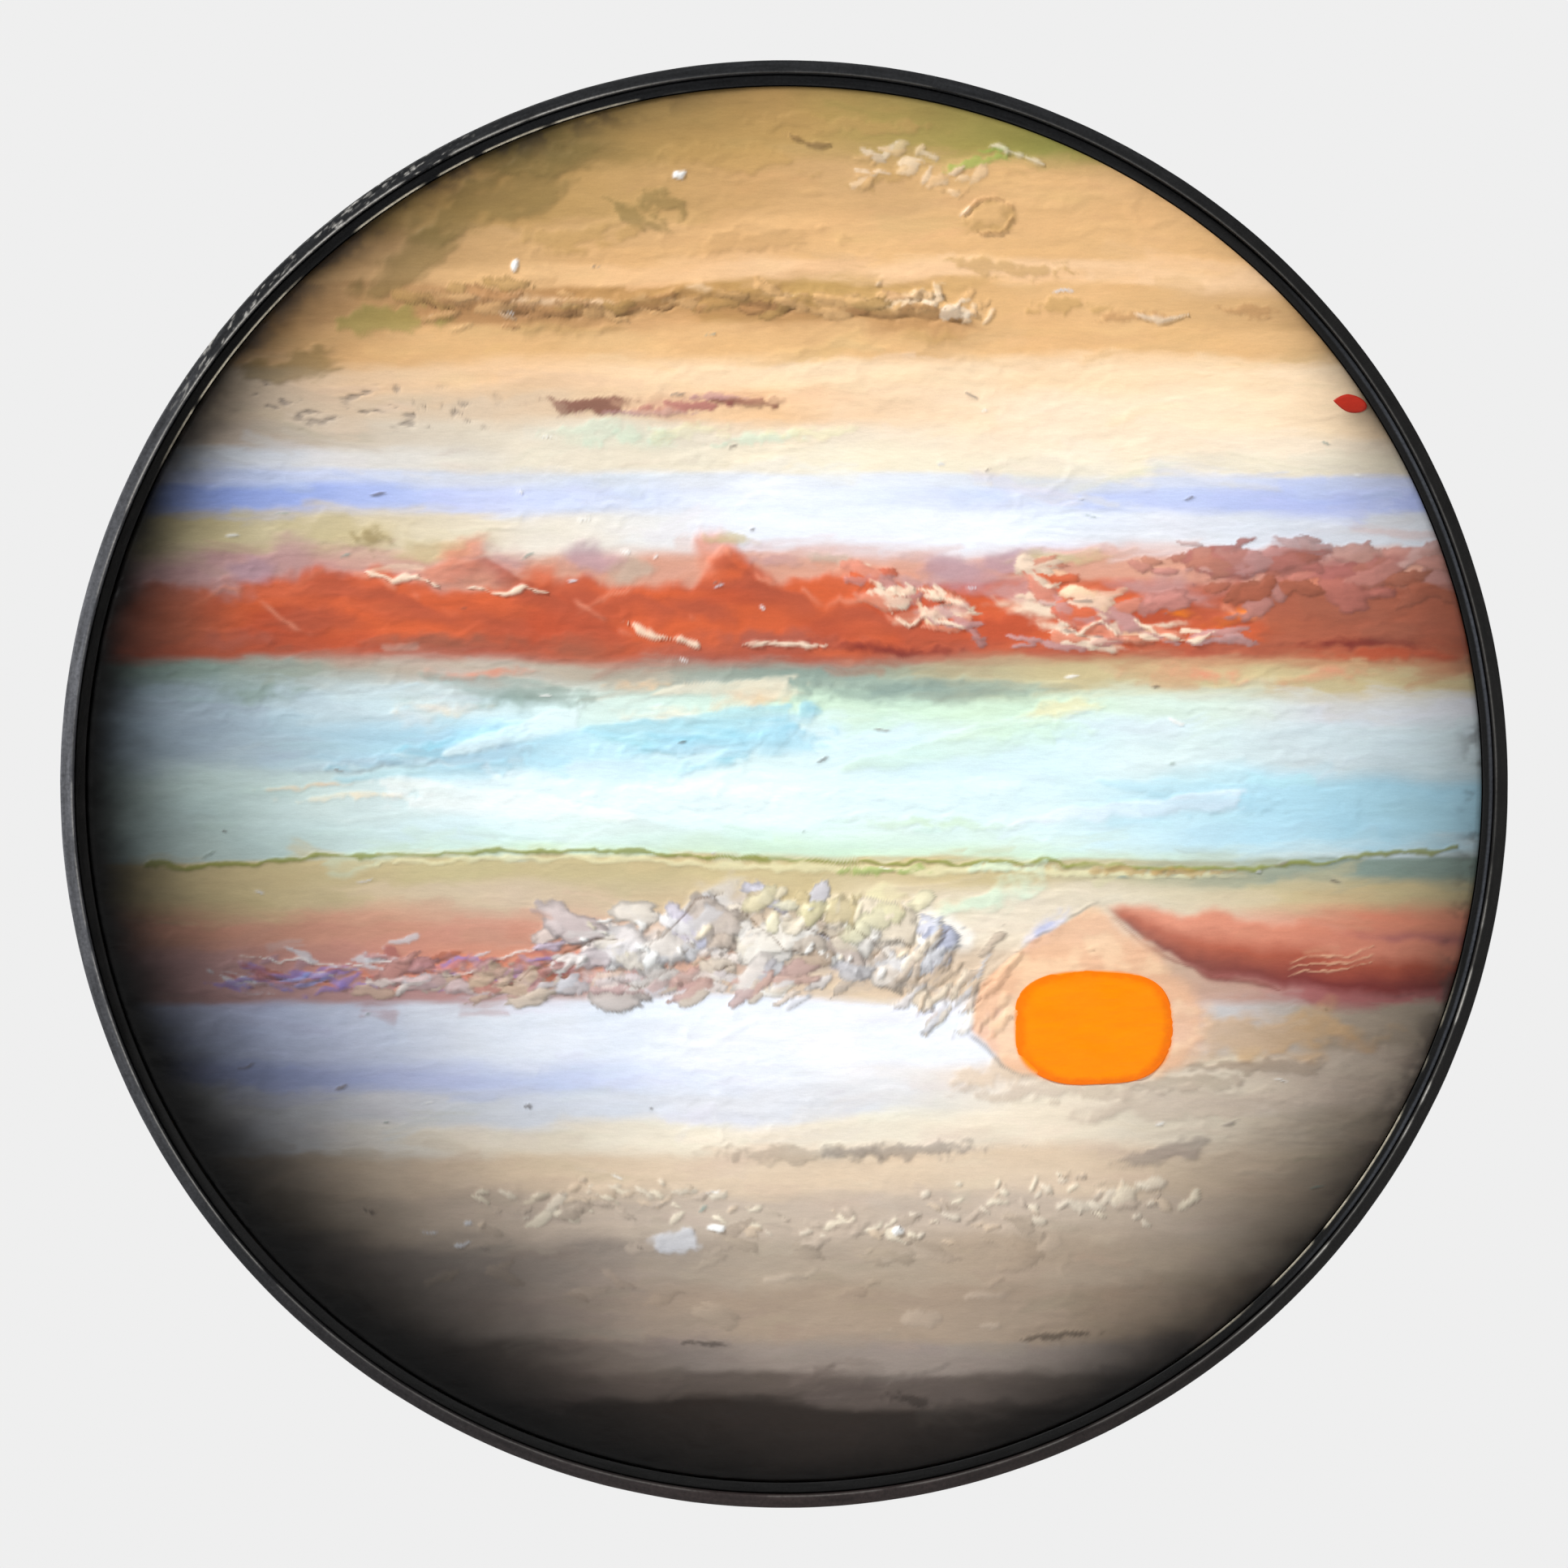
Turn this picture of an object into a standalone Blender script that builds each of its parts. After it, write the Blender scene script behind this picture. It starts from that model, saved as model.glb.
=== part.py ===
"""A round picture in thick paint on a cradled plywood panel, set in a thin black hoop frame that hangs on a wall.

The picture is modelled lying flat, face up, with z measured from the wall plane towards the viewer. One empty
then stands it upright: the face looks along -Y, the top is +Z, and the wall plane is y = 0. Metres throughout.
"""

import math

import bmesh
import bpy
from mathutils import Matrix, Vector

# Driving dimensions
PANEL_RADIUS = 0.300  # a 60 cm round panel
HOOP_THICKNESS = 0.0054  # the frame's thin face
SLIP_SPACE = 0.0054  # from the panel's edge to the frame's face
HOOP_DEPTH = 0.040
LIP_HEIGHT = 0.0048  # how far the frame's face stands in front of the slip
BASE_THICKNESS = 0.009
BASE_WIDTH = 0.060
CRADLE_DEPTH = 0.018
CRADLE_THICKNESS = 0.0145
BRACE_WIDTH = 0.018
BOARD_THICKNESS = 0.005
GESSO_THICKNESS = 0.0008
PAINT_THICKNESS = 0.0024
BUMPER_HEIGHT = 0.006
GAP = 0.0003  # between two pieces that touch
EASED_EDGE = 0.0008
RING_SEGMENTS = 96
SMALL_SEGMENTS = 16

# Radii
HOOP_INNER = PANEL_RADIUS + SLIP_SPACE
HOOP_OUTER = HOOP_INNER + HOOP_THICKNESS
FITTED_OUTER = HOOP_INNER - GAP
SLIP_INNER = PANEL_RADIUS + 2 * GAP
BASE_INNER = FITTED_OUTER - BASE_WIDTH
CRADLE_OUTER = PANEL_RADIUS - GAP
CRADLE_INNER = CRADLE_OUTER - CRADLE_THICKNESS

# Levels above the wall plane
BACK_LEVEL = BUMPER_HEIGHT + GAP
BASE_TOP = BACK_LEVEL + BASE_THICKNESS
CRADLE_LEVEL = BASE_TOP + GAP
CRADLE_TOP = CRADLE_LEVEL + CRADLE_DEPTH
BOARD_LEVEL = CRADLE_TOP + GAP
BOARD_TOP = BOARD_LEVEL + BOARD_THICKNESS
GESSO_LEVEL = BOARD_TOP + GAP
GESSO_TOP = GESSO_LEVEL + GESSO_THICKNESS
PAINT_LEVEL = GESSO_TOP + GAP
PAINT_TOP = PAINT_LEVEL + PAINT_THICKNESS
HOOP_TOP = BACK_LEVEL + HOOP_DEPTH
SLIP_TOP = HOOP_TOP - LIP_HEIGHT

# Thick dabs laid on the paint
DAB_LEVEL = PAINT_TOP + GAP
SPOT_CENTRE = (0.133, -0.1046)
SPOT_HALF_SIZE = (0.034, 0.0245)
SPOT_THICKNESS = 0.0008
RED_DAB_CENTRE = (0.2440, 0.1636)
RED_DAB_HALF_SIZE = (0.0068, 0.0034)
RED_DAB_THICKNESS = 0.0006

# Screws that hold the panel, and brads that pin the hoop
PANEL_SCREW_COUNT = 8
PANEL_SCREW_CIRCLE = CRADLE_INNER + CRADLE_THICKNESS / 2
PANEL_SCREW = {"head": 0.004, "head_height": 0.0024, "shank": 0.002, "length": 0.024}
BRAD_COUNT = 8
BRAD_LEVEL = BACK_LEVEL + BASE_THICKNESS / 2
BRAD_HEAD = 0.0012
BRAD_HEAD_HEIGHT = 0.0008
BRAD_SHANK = 0.0007
BRAD_LENGTH = 0.0168

# Strap hangers with D-rings: one at each side, both above the middle, each ring's pivot upright
HANGER_HEIGHT = 0.100
PIVOT_ACROSS = 0.228
WIRE_RADIUS = 0.0011
WIRE_PLAY = 0.0004
RING_HALF_WIDTH = 0.0076
RING_STRAIGHT = 0.0045
RING_CORNER = 0.002
STRAP_SHEET = 0.001
STRAP_HALF_WIDTH = 0.0052
STRAP_LENGTH = 0.041
BARREL_RADIUS = WIRE_RADIUS + WIRE_PLAY + STRAP_SHEET / 2
PIVOT_LEVEL = BACK_LEVEL - GAP - STRAP_SHEET / 2 - BARREL_RADIUS
STRAP_SCREW = {"head": 0.0032, "head_height": 0.0018, "shank": 0.0016, "length": 0.0085}
STRAP_SCREWS_FROM_PIVOT = (0.0195, 0.0335)

# Rubber bumpers on the back
BUMPER_RADIUS = 0.006
BUMPER_ANGLES = (60, 120, 240, 300)
BUMPER_CIRCLE = BASE_INNER + BASE_WIDTH / 2


def clear_scene():
    for obj in list(bpy.data.objects):
        bpy.data.objects.remove(obj, do_unlink=True)


def new_collection(name):
    collection = bpy.data.collections.new(name)
    bpy.context.scene.collection.children.link(collection)
    return collection


def new_upright_empty():
    """Everything hangs on this empty, which turns the flat frame to face -Y."""
    upright = bpy.data.objects.new("upright", None)
    upright.rotation_euler = (math.pi / 2, 0.0, 0.0)
    PIECES.objects.link(upright)
    return upright


def new_material(name, colour, roughness, metallic=0.0):
    material = bpy.data.materials.new(name)
    material.use_nodes = True
    shader = material.node_tree.nodes["Principled BSDF"]
    shader.inputs["Base Color"].default_value = (*colour, 1.0)
    shader.inputs["Roughness"].default_value = roughness
    shader.inputs["Metallic"].default_value = metallic
    return material


clear_scene()
PIECES = new_collection("round_framed_painting")
CUTTERS = new_collection("cutters")
UPRIGHT = new_upright_empty()


def place(name, mesh, material, location=(0.0, 0.0, 0.0), rotation=(0.0, 0.0, 0.0)):
    """A piece in the flat frame."""
    obj = bpy.data.objects.new(name, mesh)
    PIECES.objects.link(obj)
    obj.parent = UPRIGHT
    obj.location = location
    obj.rotation_euler = rotation
    if material.name not in mesh.materials:
        mesh.materials.append(material)
    return obj


def on_circle(radius, degrees, level):
    angle = math.radians(degrees)
    return Vector((radius * math.cos(angle), radius * math.sin(angle), level))


def applied_mesh(obj):
    """The object's evaluated mesh, welded and shaded smooth where it is round. The object itself is removed."""
    bpy.context.view_layer.update()
    graph = bpy.context.evaluated_depsgraph_get()
    mesh = bpy.data.meshes.new_from_object(obj.evaluated_get(graph))
    mesh.name = obj.name
    shape = bmesh.new()
    shape.from_mesh(mesh)
    bmesh.ops.remove_doubles(shape, verts=shape.verts, dist=0.000001)
    bmesh.ops.recalc_face_normals(shape, faces=shape.faces)
    shape.to_mesh(mesh)
    shape.free()
    mesh.shade_smooth()
    mesh.set_sharp_from_angle(angle=math.radians(35))
    bpy.data.objects.remove(obj, do_unlink=True)
    return mesh


def temporary_object(name, data):
    obj = bpy.data.objects.new(name, data)
    bpy.context.scene.collection.objects.link(obj)
    return obj


def turned_mesh(name, profile, segments):
    """A solid turned about z. Its (radius, z) profile runs down the outer side, and is a closed loop off the axis."""
    count = len(profile)
    is_ring = min(radius for radius, _ in profile) > 0
    edges = [(i, (i + 1) % count) for i in range(count if is_ring else count - 1)]
    mesh = bpy.data.meshes.new(name)
    mesh.from_pydata([(radius, 0.0, z) for radius, z in profile], edges, [])
    obj = temporary_object(name, mesh)
    screw = obj.modifiers.new("turn", "SCREW")
    screw.steps = segments
    screw.render_steps = segments
    screw.use_merge_vertices = True
    screw.merge_threshold = 0.00001
    return applied_mesh(obj)


def eased_corner(radius, level, eased, side):
    """The rounded top edge of a profile, top point first; side is 1 for an outer edge and -1 for an inner one."""
    steps = 3
    points = []
    for step in range(steps + 1):
        angle = math.pi / 2 * (1 - step / steps)
        across = radius - side * eased * (1 - math.cos(angle))
        points.append((across, level - eased * (1 - math.sin(angle))))
    return points


def ring_profile(inner, outer, low, high, eased=0.0):
    """A rectangular section, with both top edges rounded when eased is given."""
    if not eased:
        return [(outer, high), (outer, low), (inner, low), (inner, high)]
    outer_edge = eased_corner(outer, high, eased, 1)
    inner_edge = eased_corner(inner, high, eased, -1)
    return outer_edge + [(outer, low), (inner, low)] + inner_edge[::-1]


def disc_profile(radius, low, high, eased=0.0):
    edge = eased_corner(radius, high, eased, 1) if eased else [(radius, high)]
    return [(0.0, high)] + edge + [(radius, low), (0.0, low)]


def add_cylinder(shape, radius, start, end, segments=SMALL_SEGMENTS):
    """Adds a cylinder from start to end to a bmesh."""
    along = end - start
    made = bmesh.ops.create_cone(
        shape, cap_ends=True, segments=segments, radius1=radius, radius2=radius, depth=along.length
    )
    turn = along.to_track_quat("Z", "Y").to_matrix()
    bmesh.ops.rotate(shape, verts=made["verts"], matrix=turn)
    bmesh.ops.translate(shape, verts=made["verts"], vec=(start + end) / 2)


def add_box(shape, size, centre, turn=0.0):
    made = bmesh.ops.create_cube(shape, size=1.0)
    bmesh.ops.scale(shape, verts=made["verts"], vec=size)
    bmesh.ops.rotate(shape, verts=made["verts"], matrix=Matrix.Rotation(turn, 3, "Z"))
    bmesh.ops.translate(shape, verts=made["verts"], vec=centre)


def finish_mesh(name, shape):
    mesh = bpy.data.meshes.new(name)
    shape.to_mesh(mesh)
    shape.free()
    return mesh


def new_cutter(name, shape):
    cutter = bpy.data.objects.new(name, finish_mesh(name, shape))
    CUTTERS.objects.link(cutter)
    cutter.hide_render = True
    cutter.display_type = "WIRE"
    return cutter


def cut(obj, cutter):
    boolean = obj.modifiers.new(cutter.name, "BOOLEAN")
    boolean.operation = "DIFFERENCE"
    boolean.solver = "EXACT"
    boolean.object = cutter
    return obj


def panel_screw_angles():
    return [360 / PANEL_SCREW_COUNT * i for i in range(PANEL_SCREW_COUNT)]


def brad_angles():
    return [360 / BRAD_COUNT * (i + 0.5) for i in range(BRAD_COUNT)]


def strap_screw_points():
    """(name, point on the back of the base ring) for the four strap screws."""
    points = []
    for side_name, side in (("left", -1), ("right", 1)):
        for number, distance in enumerate(STRAP_SCREWS_FROM_PIVOT, 1):
            across = side * (PIVOT_ACROSS + distance)
            points.append((f"{side_name}_{number}", Vector((across, HANGER_HEIGHT, BACK_LEVEL))))
    return points


def add_panel_screw_holes(shape):
    """From behind the base ring to just past the screws' tips."""
    tip = BACK_LEVEL - GAP + PANEL_SCREW["length"]
    for degrees in panel_screw_angles():
        start = on_circle(PANEL_SCREW_CIRCLE, degrees, BACK_LEVEL - 0.001)
        end = on_circle(PANEL_SCREW_CIRCLE, degrees, tip + GAP)
        add_cylinder(shape, PANEL_SCREW["shank"] + GAP, start, end)


def add_brad_holes(shape):
    """From under each brad's head, inwards past its point."""
    for degrees in brad_angles():
        start = on_circle(HOOP_OUTER - BRAD_HEAD_HEIGHT / 2, degrees, BRAD_LEVEL)
        end = on_circle(HOOP_OUTER - BRAD_LENGTH - 2 * GAP, degrees, BRAD_LEVEL)
        add_cylinder(shape, BRAD_SHANK + GAP, start, end, 10)


def add_brad_seats(shape):
    """A wider seat for each brad's head, from outside the hoop."""
    for degrees in brad_angles():
        start = on_circle(HOOP_OUTER + 0.001, degrees, BRAD_LEVEL)
        end = on_circle(HOOP_OUTER - BRAD_HEAD_HEIGHT - 2 * GAP, degrees, BRAD_LEVEL)
        add_cylinder(shape, BRAD_HEAD + GAP, start, end, 10)


def make_outer_hoop(material):
    profile = ring_profile(HOOP_INNER, HOOP_OUTER, BACK_LEVEL, HOOP_TOP, EASED_EDGE)
    hoop = place("outer_hoop", turned_mesh("outer_hoop", profile, RING_SEGMENTS), material)
    cut(hoop, BRAD_SEAT_CUTTER)
    return cut(hoop, BRAD_CUTTER)


def make_slip_hoop(material):
    profile = ring_profile(SLIP_INNER, FITTED_OUTER, CRADLE_LEVEL, SLIP_TOP)
    return place("slip_hoop", turned_mesh("slip_hoop", profile, RING_SEGMENTS), material)


def make_base_ring(material):
    profile = ring_profile(BASE_INNER, FITTED_OUTER, BACK_LEVEL, BASE_TOP)
    ring = place("base_ring", turned_mesh("base_ring", profile, RING_SEGMENTS), material)
    cut(ring, BRAD_CUTTER)
    cut(ring, PANEL_SCREW_CUTTER)
    shape = bmesh.new()
    for _, point in strap_screw_points():
        bottom = point + Vector((0.0, 0.0, STRAP_SCREW["length"] - GAP))
        add_cylinder(shape, STRAP_SCREW["shank"] + GAP, point - Vector((0.0, 0.0, 0.001)), bottom)
    return cut(ring, new_cutter("strap_screw_holes", shape))


def make_cradle_hoop(material):
    profile = ring_profile(CRADLE_INNER, CRADLE_OUTER, CRADLE_LEVEL, CRADLE_TOP)
    hoop = place("cradle_hoop", turned_mesh("cradle_hoop", profile, RING_SEGMENTS), material)
    return cut(hoop, PANEL_SCREW_CUTTER)


def make_brace(name, start, end, material):
    """A square-ended bar between two points of the cradle, its edges lightly eased."""
    along = end - start
    shape = bmesh.new()
    add_box(shape, (along.length, BRACE_WIDTH, CRADLE_DEPTH), (0.0, 0.0, 0.0))
    mesh = finish_mesh(name, shape)
    turn = math.atan2(along.y, along.x)
    brace = place(name, mesh, material, (start + end) / 2, (0.0, 0.0, turn))
    bevel = brace.modifiers.new("eased_edges", "BEVEL")
    bevel.width = EASED_EDGE
    bevel.segments = 2
    return brace


def make_braces(material):
    """One brace from top to bottom, and one from it to each side."""
    level = CRADLE_LEVEL + CRADLE_DEPTH / 2
    reach = math.sqrt(CRADLE_INNER**2 - (BRACE_WIDTH / 2) ** 2) - 2 * GAP
    inner_end = BRACE_WIDTH / 2 + GAP
    make_brace("cradle_brace_upright", Vector((0, -reach, level)), Vector((0, reach, level)), material)
    make_brace("cradle_brace_left", Vector((-reach, 0, level)), Vector((-inner_end, 0, level)), material)
    make_brace("cradle_brace_right", Vector((inner_end, 0, level)), Vector((reach, 0, level)), material)


def make_panel(board, gesso, paint):
    """The plywood disc, its priming coat and the paint."""
    coats = (
        ("panel_board", BOARD_LEVEL, BOARD_TOP, 0.0, board),
        ("gesso_ground", GESSO_LEVEL, GESSO_TOP, 0.0, gesso),
        ("paint_layer", PAINT_LEVEL, PAINT_TOP, EASED_EDGE, paint),
    )
    for name, low, high, eased, material in coats:
        profile = disc_profile(PANEL_RADIUS, low, high, eased)
        place(name, turned_mesh(name, profile, RING_SEGMENTS), material)


def make_dab(name, centre, half_size, thickness, material):
    """A low dab with a rounded edge: a turned disc drawn out to an oval."""
    radius = half_size[0]
    mesh = turned_mesh(name, disc_profile(radius, 0.0, thickness, thickness / 2), 2 * SMALL_SEGMENTS)
    mesh.transform(Matrix.Diagonal((1.0, half_size[1] / radius, 1.0, 1.0)))
    return place(name, mesh, material, (*centre, DAB_LEVEL))


def screw_mesh(name, size):
    """A pan-head wood screw with a cross recess. Its z = 0 is under the head, and the point is up."""
    head, height, shank, length = size["head"], size["head_height"], size["shank"], size["length"]
    tip = 0.35 * shank
    profile = [
        (0.0, length),
        (tip, length),
        (shank, length - 2 * shank),
        (shank, 0.0),
        (head, 0.0),
        (head, -0.45 * height),
        (0.8 * head, -0.85 * height),
        (0.45 * head, -height),
        (0.0, -height),
    ]
    screw = temporary_object(name, turned_mesh(name, profile, SMALL_SEGMENTS))
    shape = bmesh.new()
    slot = (1.1 * head, 0.22 * head, 1.1 * height)
    add_box(shape, slot, (0.0, 0.0, -height))
    arm = bmesh.new()
    add_box(arm, slot, (0.0, 0.0, -height), math.pi / 2)
    slot_cutter = new_cutter(f"{name}_slot", shape)
    arm_cutter = new_cutter(f"{name}_cross_slot", arm)
    cut(screw, slot_cutter)
    cut(screw, arm_cutter)
    mesh = applied_mesh(screw)
    bpy.data.objects.remove(slot_cutter, do_unlink=True)
    bpy.data.objects.remove(arm_cutter, do_unlink=True)
    return mesh


def make_panel_screws(material):
    mesh = screw_mesh("panel_screw", PANEL_SCREW)
    for number, degrees in enumerate(panel_screw_angles(), 1):
        point = on_circle(PANEL_SCREW_CIRCLE, degrees, BACK_LEVEL - GAP)
        turn = math.radians(37 * number)
        place(f"panel_screw_{number:02d}", mesh, material, point, (0.0, 0.0, turn))


def make_hoop_brads(material):
    """Brads with flat heads, driven in from the outside of the hoop."""
    profile = [
        (0.0, 0.0),
        (BRAD_HEAD, 0.0),
        (BRAD_HEAD, -BRAD_HEAD_HEIGHT),
        (BRAD_SHANK, -BRAD_HEAD_HEIGHT),
        (BRAD_SHANK, -BRAD_LENGTH + 0.0015),
        (BRAD_SHANK / 4, -BRAD_LENGTH),
        (0.0, -BRAD_LENGTH),
    ]
    mesh = turned_mesh("hoop_brad", profile, 8)
    for number, degrees in enumerate(brad_angles(), 1):
        point = on_circle(HOOP_OUTER - GAP, degrees, BRAD_LEVEL)
        turn = (0.0, math.pi / 2, math.radians(degrees))
        place(f"hoop_brad_{number:02d}", mesh, material, point, turn)


def strap_path():
    """(distance outwards from the pivot, height off the back, half width): a curled barrel, then a strap."""
    points = []
    steps = 14
    for step in range(steps + 1):
        angle = math.radians(-20 + 290 * step / steps)
        points.append((BARREL_RADIUS * math.cos(angle), BARREL_RADIUS * math.sin(angle), STRAP_HALF_WIDTH))
    end_centre = STRAP_LENGTH - STRAP_HALF_WIDTH
    points.append((end_centre, -BARREL_RADIUS, STRAP_HALF_WIDTH))
    for degrees in (25, 45, 62, 78):
        angle = math.radians(degrees)
        along = end_centre + STRAP_HALF_WIDTH * math.sin(angle)
        points.append((along, -BARREL_RADIUS, STRAP_HALF_WIDTH * math.cos(angle)))
    return points


def strap_mesh():
    """The strap as one strip of sheet, curled round the ring's leg and rounded at its far end."""
    shape = bmesh.new()
    rows = []
    for along, height, half_width in strap_path():
        sides = (-half_width, half_width)
        rows.append([shape.verts.new((along, side, -height)) for side in sides])
    for (a, b), (c, d) in zip(rows, rows[1:]):
        shape.faces.new((a, b, d, c))
    strap = temporary_object("strap", finish_mesh("strap", shape))
    sheet = strap.modifiers.new("sheet", "SOLIDIFY")
    sheet.thickness = STRAP_SHEET
    sheet.offset = 0.0
    return applied_mesh(strap)


def ring_points():
    """The D-ring's centre line: a straight leg on the pivot, rounded corners, short sides and a half circle."""
    half, corner = RING_HALF_WIDTH, RING_CORNER
    points = []
    for step in range(4):
        angle = math.pi + math.pi / 2 * step / 3
        points.append((corner + corner * math.cos(angle), -half + corner + corner * math.sin(angle), 0.0))
    bow_centre = corner + RING_STRAIGHT
    for step in range(13):
        angle = -math.pi / 2 + math.pi * step / 12
        points.append((bow_centre + half * math.cos(angle), half * math.sin(angle), 0.0))
    for step in range(4):
        angle = math.pi / 2 + math.pi / 2 * step / 3
        points.append((corner + corner * math.cos(angle), half - corner + corner * math.sin(angle), 0.0))
    return points


def ring_mesh():
    curve = bpy.data.curves.new("hanger_ring", "CURVE")
    curve.dimensions = "3D"
    spline = curve.splines.new("POLY")
    points = ring_points()
    spline.points.add(len(points) - 1)
    for point, position in zip(spline.points, points):
        point.co = (*position, 1.0)
    spline.use_cyclic_u = True
    curve.bevel_depth = WIRE_RADIUS
    curve.bevel_resolution = 2
    return applied_mesh(temporary_object("hanger_ring", curve))


def make_hangers(material, screw_material):
    """Each hanger's strap reaches outwards from its pivot, and its ring lies flat, pointing inwards."""
    strap, ring = strap_mesh(), ring_mesh()
    for side_name, side in (("left", -1), ("right", 1)):
        pivot = Vector((side * PIVOT_ACROSS, HANGER_HEIGHT, PIVOT_LEVEL))
        strap_turn = 0.0 if side > 0 else math.pi
        name = f"hanger_strap_{side_name}"
        piece = place(name, strap, material, pivot, (0.0, 0.0, strap_turn))
        shape = bmesh.new()
        for distance in STRAP_SCREWS_FROM_PIVOT:
            point = Vector((side * (PIVOT_ACROSS + distance), HANGER_HEIGHT, BACK_LEVEL))
            reach = Vector((0.0, 0.0, 0.004))
            add_cylinder(shape, STRAP_SCREW["shank"] + GAP, point - reach, point + reach)
        cut(piece, new_cutter(f"{name}_holes", shape))
        place(f"hanger_ring_{side_name}", ring, material, pivot, (0.0, 0.0, strap_turn + math.pi))
    mesh = screw_mesh("strap_screw", STRAP_SCREW)
    under_head = -GAP - STRAP_SHEET - GAP
    for number, (label, point) in enumerate(strap_screw_points(), 1):
        position = point + Vector((0.0, 0.0, under_head))
        place(f"strap_screw_{label}", mesh, screw_material, position, (0.0, 0.0, math.radians(50 * number)))


def make_bumpers(material):
    profile = [
        (0.0, BUMPER_HEIGHT),
        (BUMPER_RADIUS, BUMPER_HEIGHT),
        (0.94 * BUMPER_RADIUS, 0.25 * BUMPER_HEIGHT),
        (0.86 * BUMPER_RADIUS, 0.08 * BUMPER_HEIGHT),
        (0.72 * BUMPER_RADIUS, 0.0),
        (0.0, 0.0),
    ]
    mesh = turned_mesh("bumper", profile, 2 * SMALL_SEGMENTS)
    for number, degrees in enumerate(BUMPER_ANGLES, 1):
        place(f"bumper_{number:02d}", mesh, material, on_circle(BUMPER_CIRCLE, degrees, 0.0))


def parent_cutters():
    for cutter in CUTTERS.objects:
        cutter.parent = UPRIGHT


def hole_cutter(name, add_holes):
    shape = bmesh.new()
    add_holes(shape)
    return new_cutter(name, shape)


BRAD_CUTTER = hole_cutter("brad_holes", add_brad_holes)
BRAD_SEAT_CUTTER = hole_cutter("brad_seats", add_brad_seats)
PANEL_SCREW_CUTTER = hole_cutter("panel_screw_holes", add_panel_screw_holes)


def main():
    black_paint = new_material("black_frame_paint", (0.035, 0.034, 0.035), 0.55)
    slip_paint = new_material("black_slip_paint", (0.015, 0.014, 0.013), 0.7)
    bare_wood = new_material("bare_wood", (0.62, 0.46, 0.28), 0.65)
    plywood = new_material("birch_plywood", (0.68, 0.53, 0.35), 0.6)
    gesso = new_material("gesso", (0.85, 0.82, 0.74), 0.8)
    paint = new_material("impasto_paint", (0.62, 0.6, 0.55), 0.4)
    orange = new_material("orange_paint", (1.0, 0.26, 0.0), 0.4)
    red = new_material("red_paint", (0.6, 0.03, 0.015), 0.4)
    zinc = new_material("zinc_plated_steel", (0.6, 0.6, 0.58), 0.35, 1.0)
    nickel = new_material("nickel_plated_steel", (0.66, 0.64, 0.6), 0.25, 1.0)
    rubber = new_material("rubber", (0.03, 0.03, 0.03), 0.85)

    make_outer_hoop(black_paint)
    make_slip_hoop(slip_paint)
    make_base_ring(black_paint)
    make_cradle_hoop(bare_wood)
    make_braces(bare_wood)
    make_panel(plywood, gesso, paint)
    make_dab("orange_spot_paint", SPOT_CENTRE, SPOT_HALF_SIZE, SPOT_THICKNESS, orange)
    make_dab("red_dab_paint", RED_DAB_CENTRE, RED_DAB_HALF_SIZE, RED_DAB_THICKNESS, red)
    make_panel_screws(zinc)
    make_hoop_brads(zinc)
    make_hangers(nickel, zinc)
    make_bumpers(rubber)
    parent_cutters()


main()
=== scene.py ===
"""Looks, light and camera for the framed round painting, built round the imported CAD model."""

import math

import bpy
import numpy as np
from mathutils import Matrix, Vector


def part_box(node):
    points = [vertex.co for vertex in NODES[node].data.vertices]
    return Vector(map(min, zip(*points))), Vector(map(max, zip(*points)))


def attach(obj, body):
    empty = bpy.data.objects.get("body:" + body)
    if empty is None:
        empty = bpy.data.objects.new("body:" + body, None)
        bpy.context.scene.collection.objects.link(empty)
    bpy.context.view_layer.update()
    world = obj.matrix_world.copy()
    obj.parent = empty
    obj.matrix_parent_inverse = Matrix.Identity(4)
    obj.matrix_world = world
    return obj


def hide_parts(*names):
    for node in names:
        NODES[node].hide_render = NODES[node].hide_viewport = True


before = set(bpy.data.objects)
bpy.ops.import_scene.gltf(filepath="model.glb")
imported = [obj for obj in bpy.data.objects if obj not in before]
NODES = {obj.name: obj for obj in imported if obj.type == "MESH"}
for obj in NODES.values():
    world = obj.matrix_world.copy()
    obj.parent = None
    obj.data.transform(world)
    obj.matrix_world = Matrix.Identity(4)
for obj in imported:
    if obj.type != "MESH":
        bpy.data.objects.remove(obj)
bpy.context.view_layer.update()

# ---------------------------------------------------------------- sizes, taken from the frame

PANEL_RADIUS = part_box("paint_layer")[1].x
PAINT_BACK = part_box("paint_layer")[1].y
PAINT_FRONT = -0.0418  # the thinnest paint; every ridge rises from here
HOOP_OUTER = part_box("outer_hoop")[1].x
HOOP_FRONT, HOOP_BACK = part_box("outer_hoop")[0].y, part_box("outer_hoop")[1].y
HOOP_INNER = 0.3054
SLIP_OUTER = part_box("slip_hoop")[1].x
SLIP_INNER = 0.3006
SLIP_FRONT, SLIP_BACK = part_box("slip_hoop")[0].y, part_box("slip_hoop")[1].y
RELIEF_LIMIT = HOOP_FRONT + 0.0008  # no paint stands further forward than this

PAINT_GRID = 640
HOOP_STEPS = 1800

# ---------------------------------------------------------------- the picture, laid out in millimetres

PANEL_MM = 1000 * PANEL_RADIUS  # x runs to the right and z up from the picture's centre
CANVAS_CELLS = 1100
CELL_MM = 2 * PANEL_MM / (CANVAS_CELLS - 1)

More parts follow.
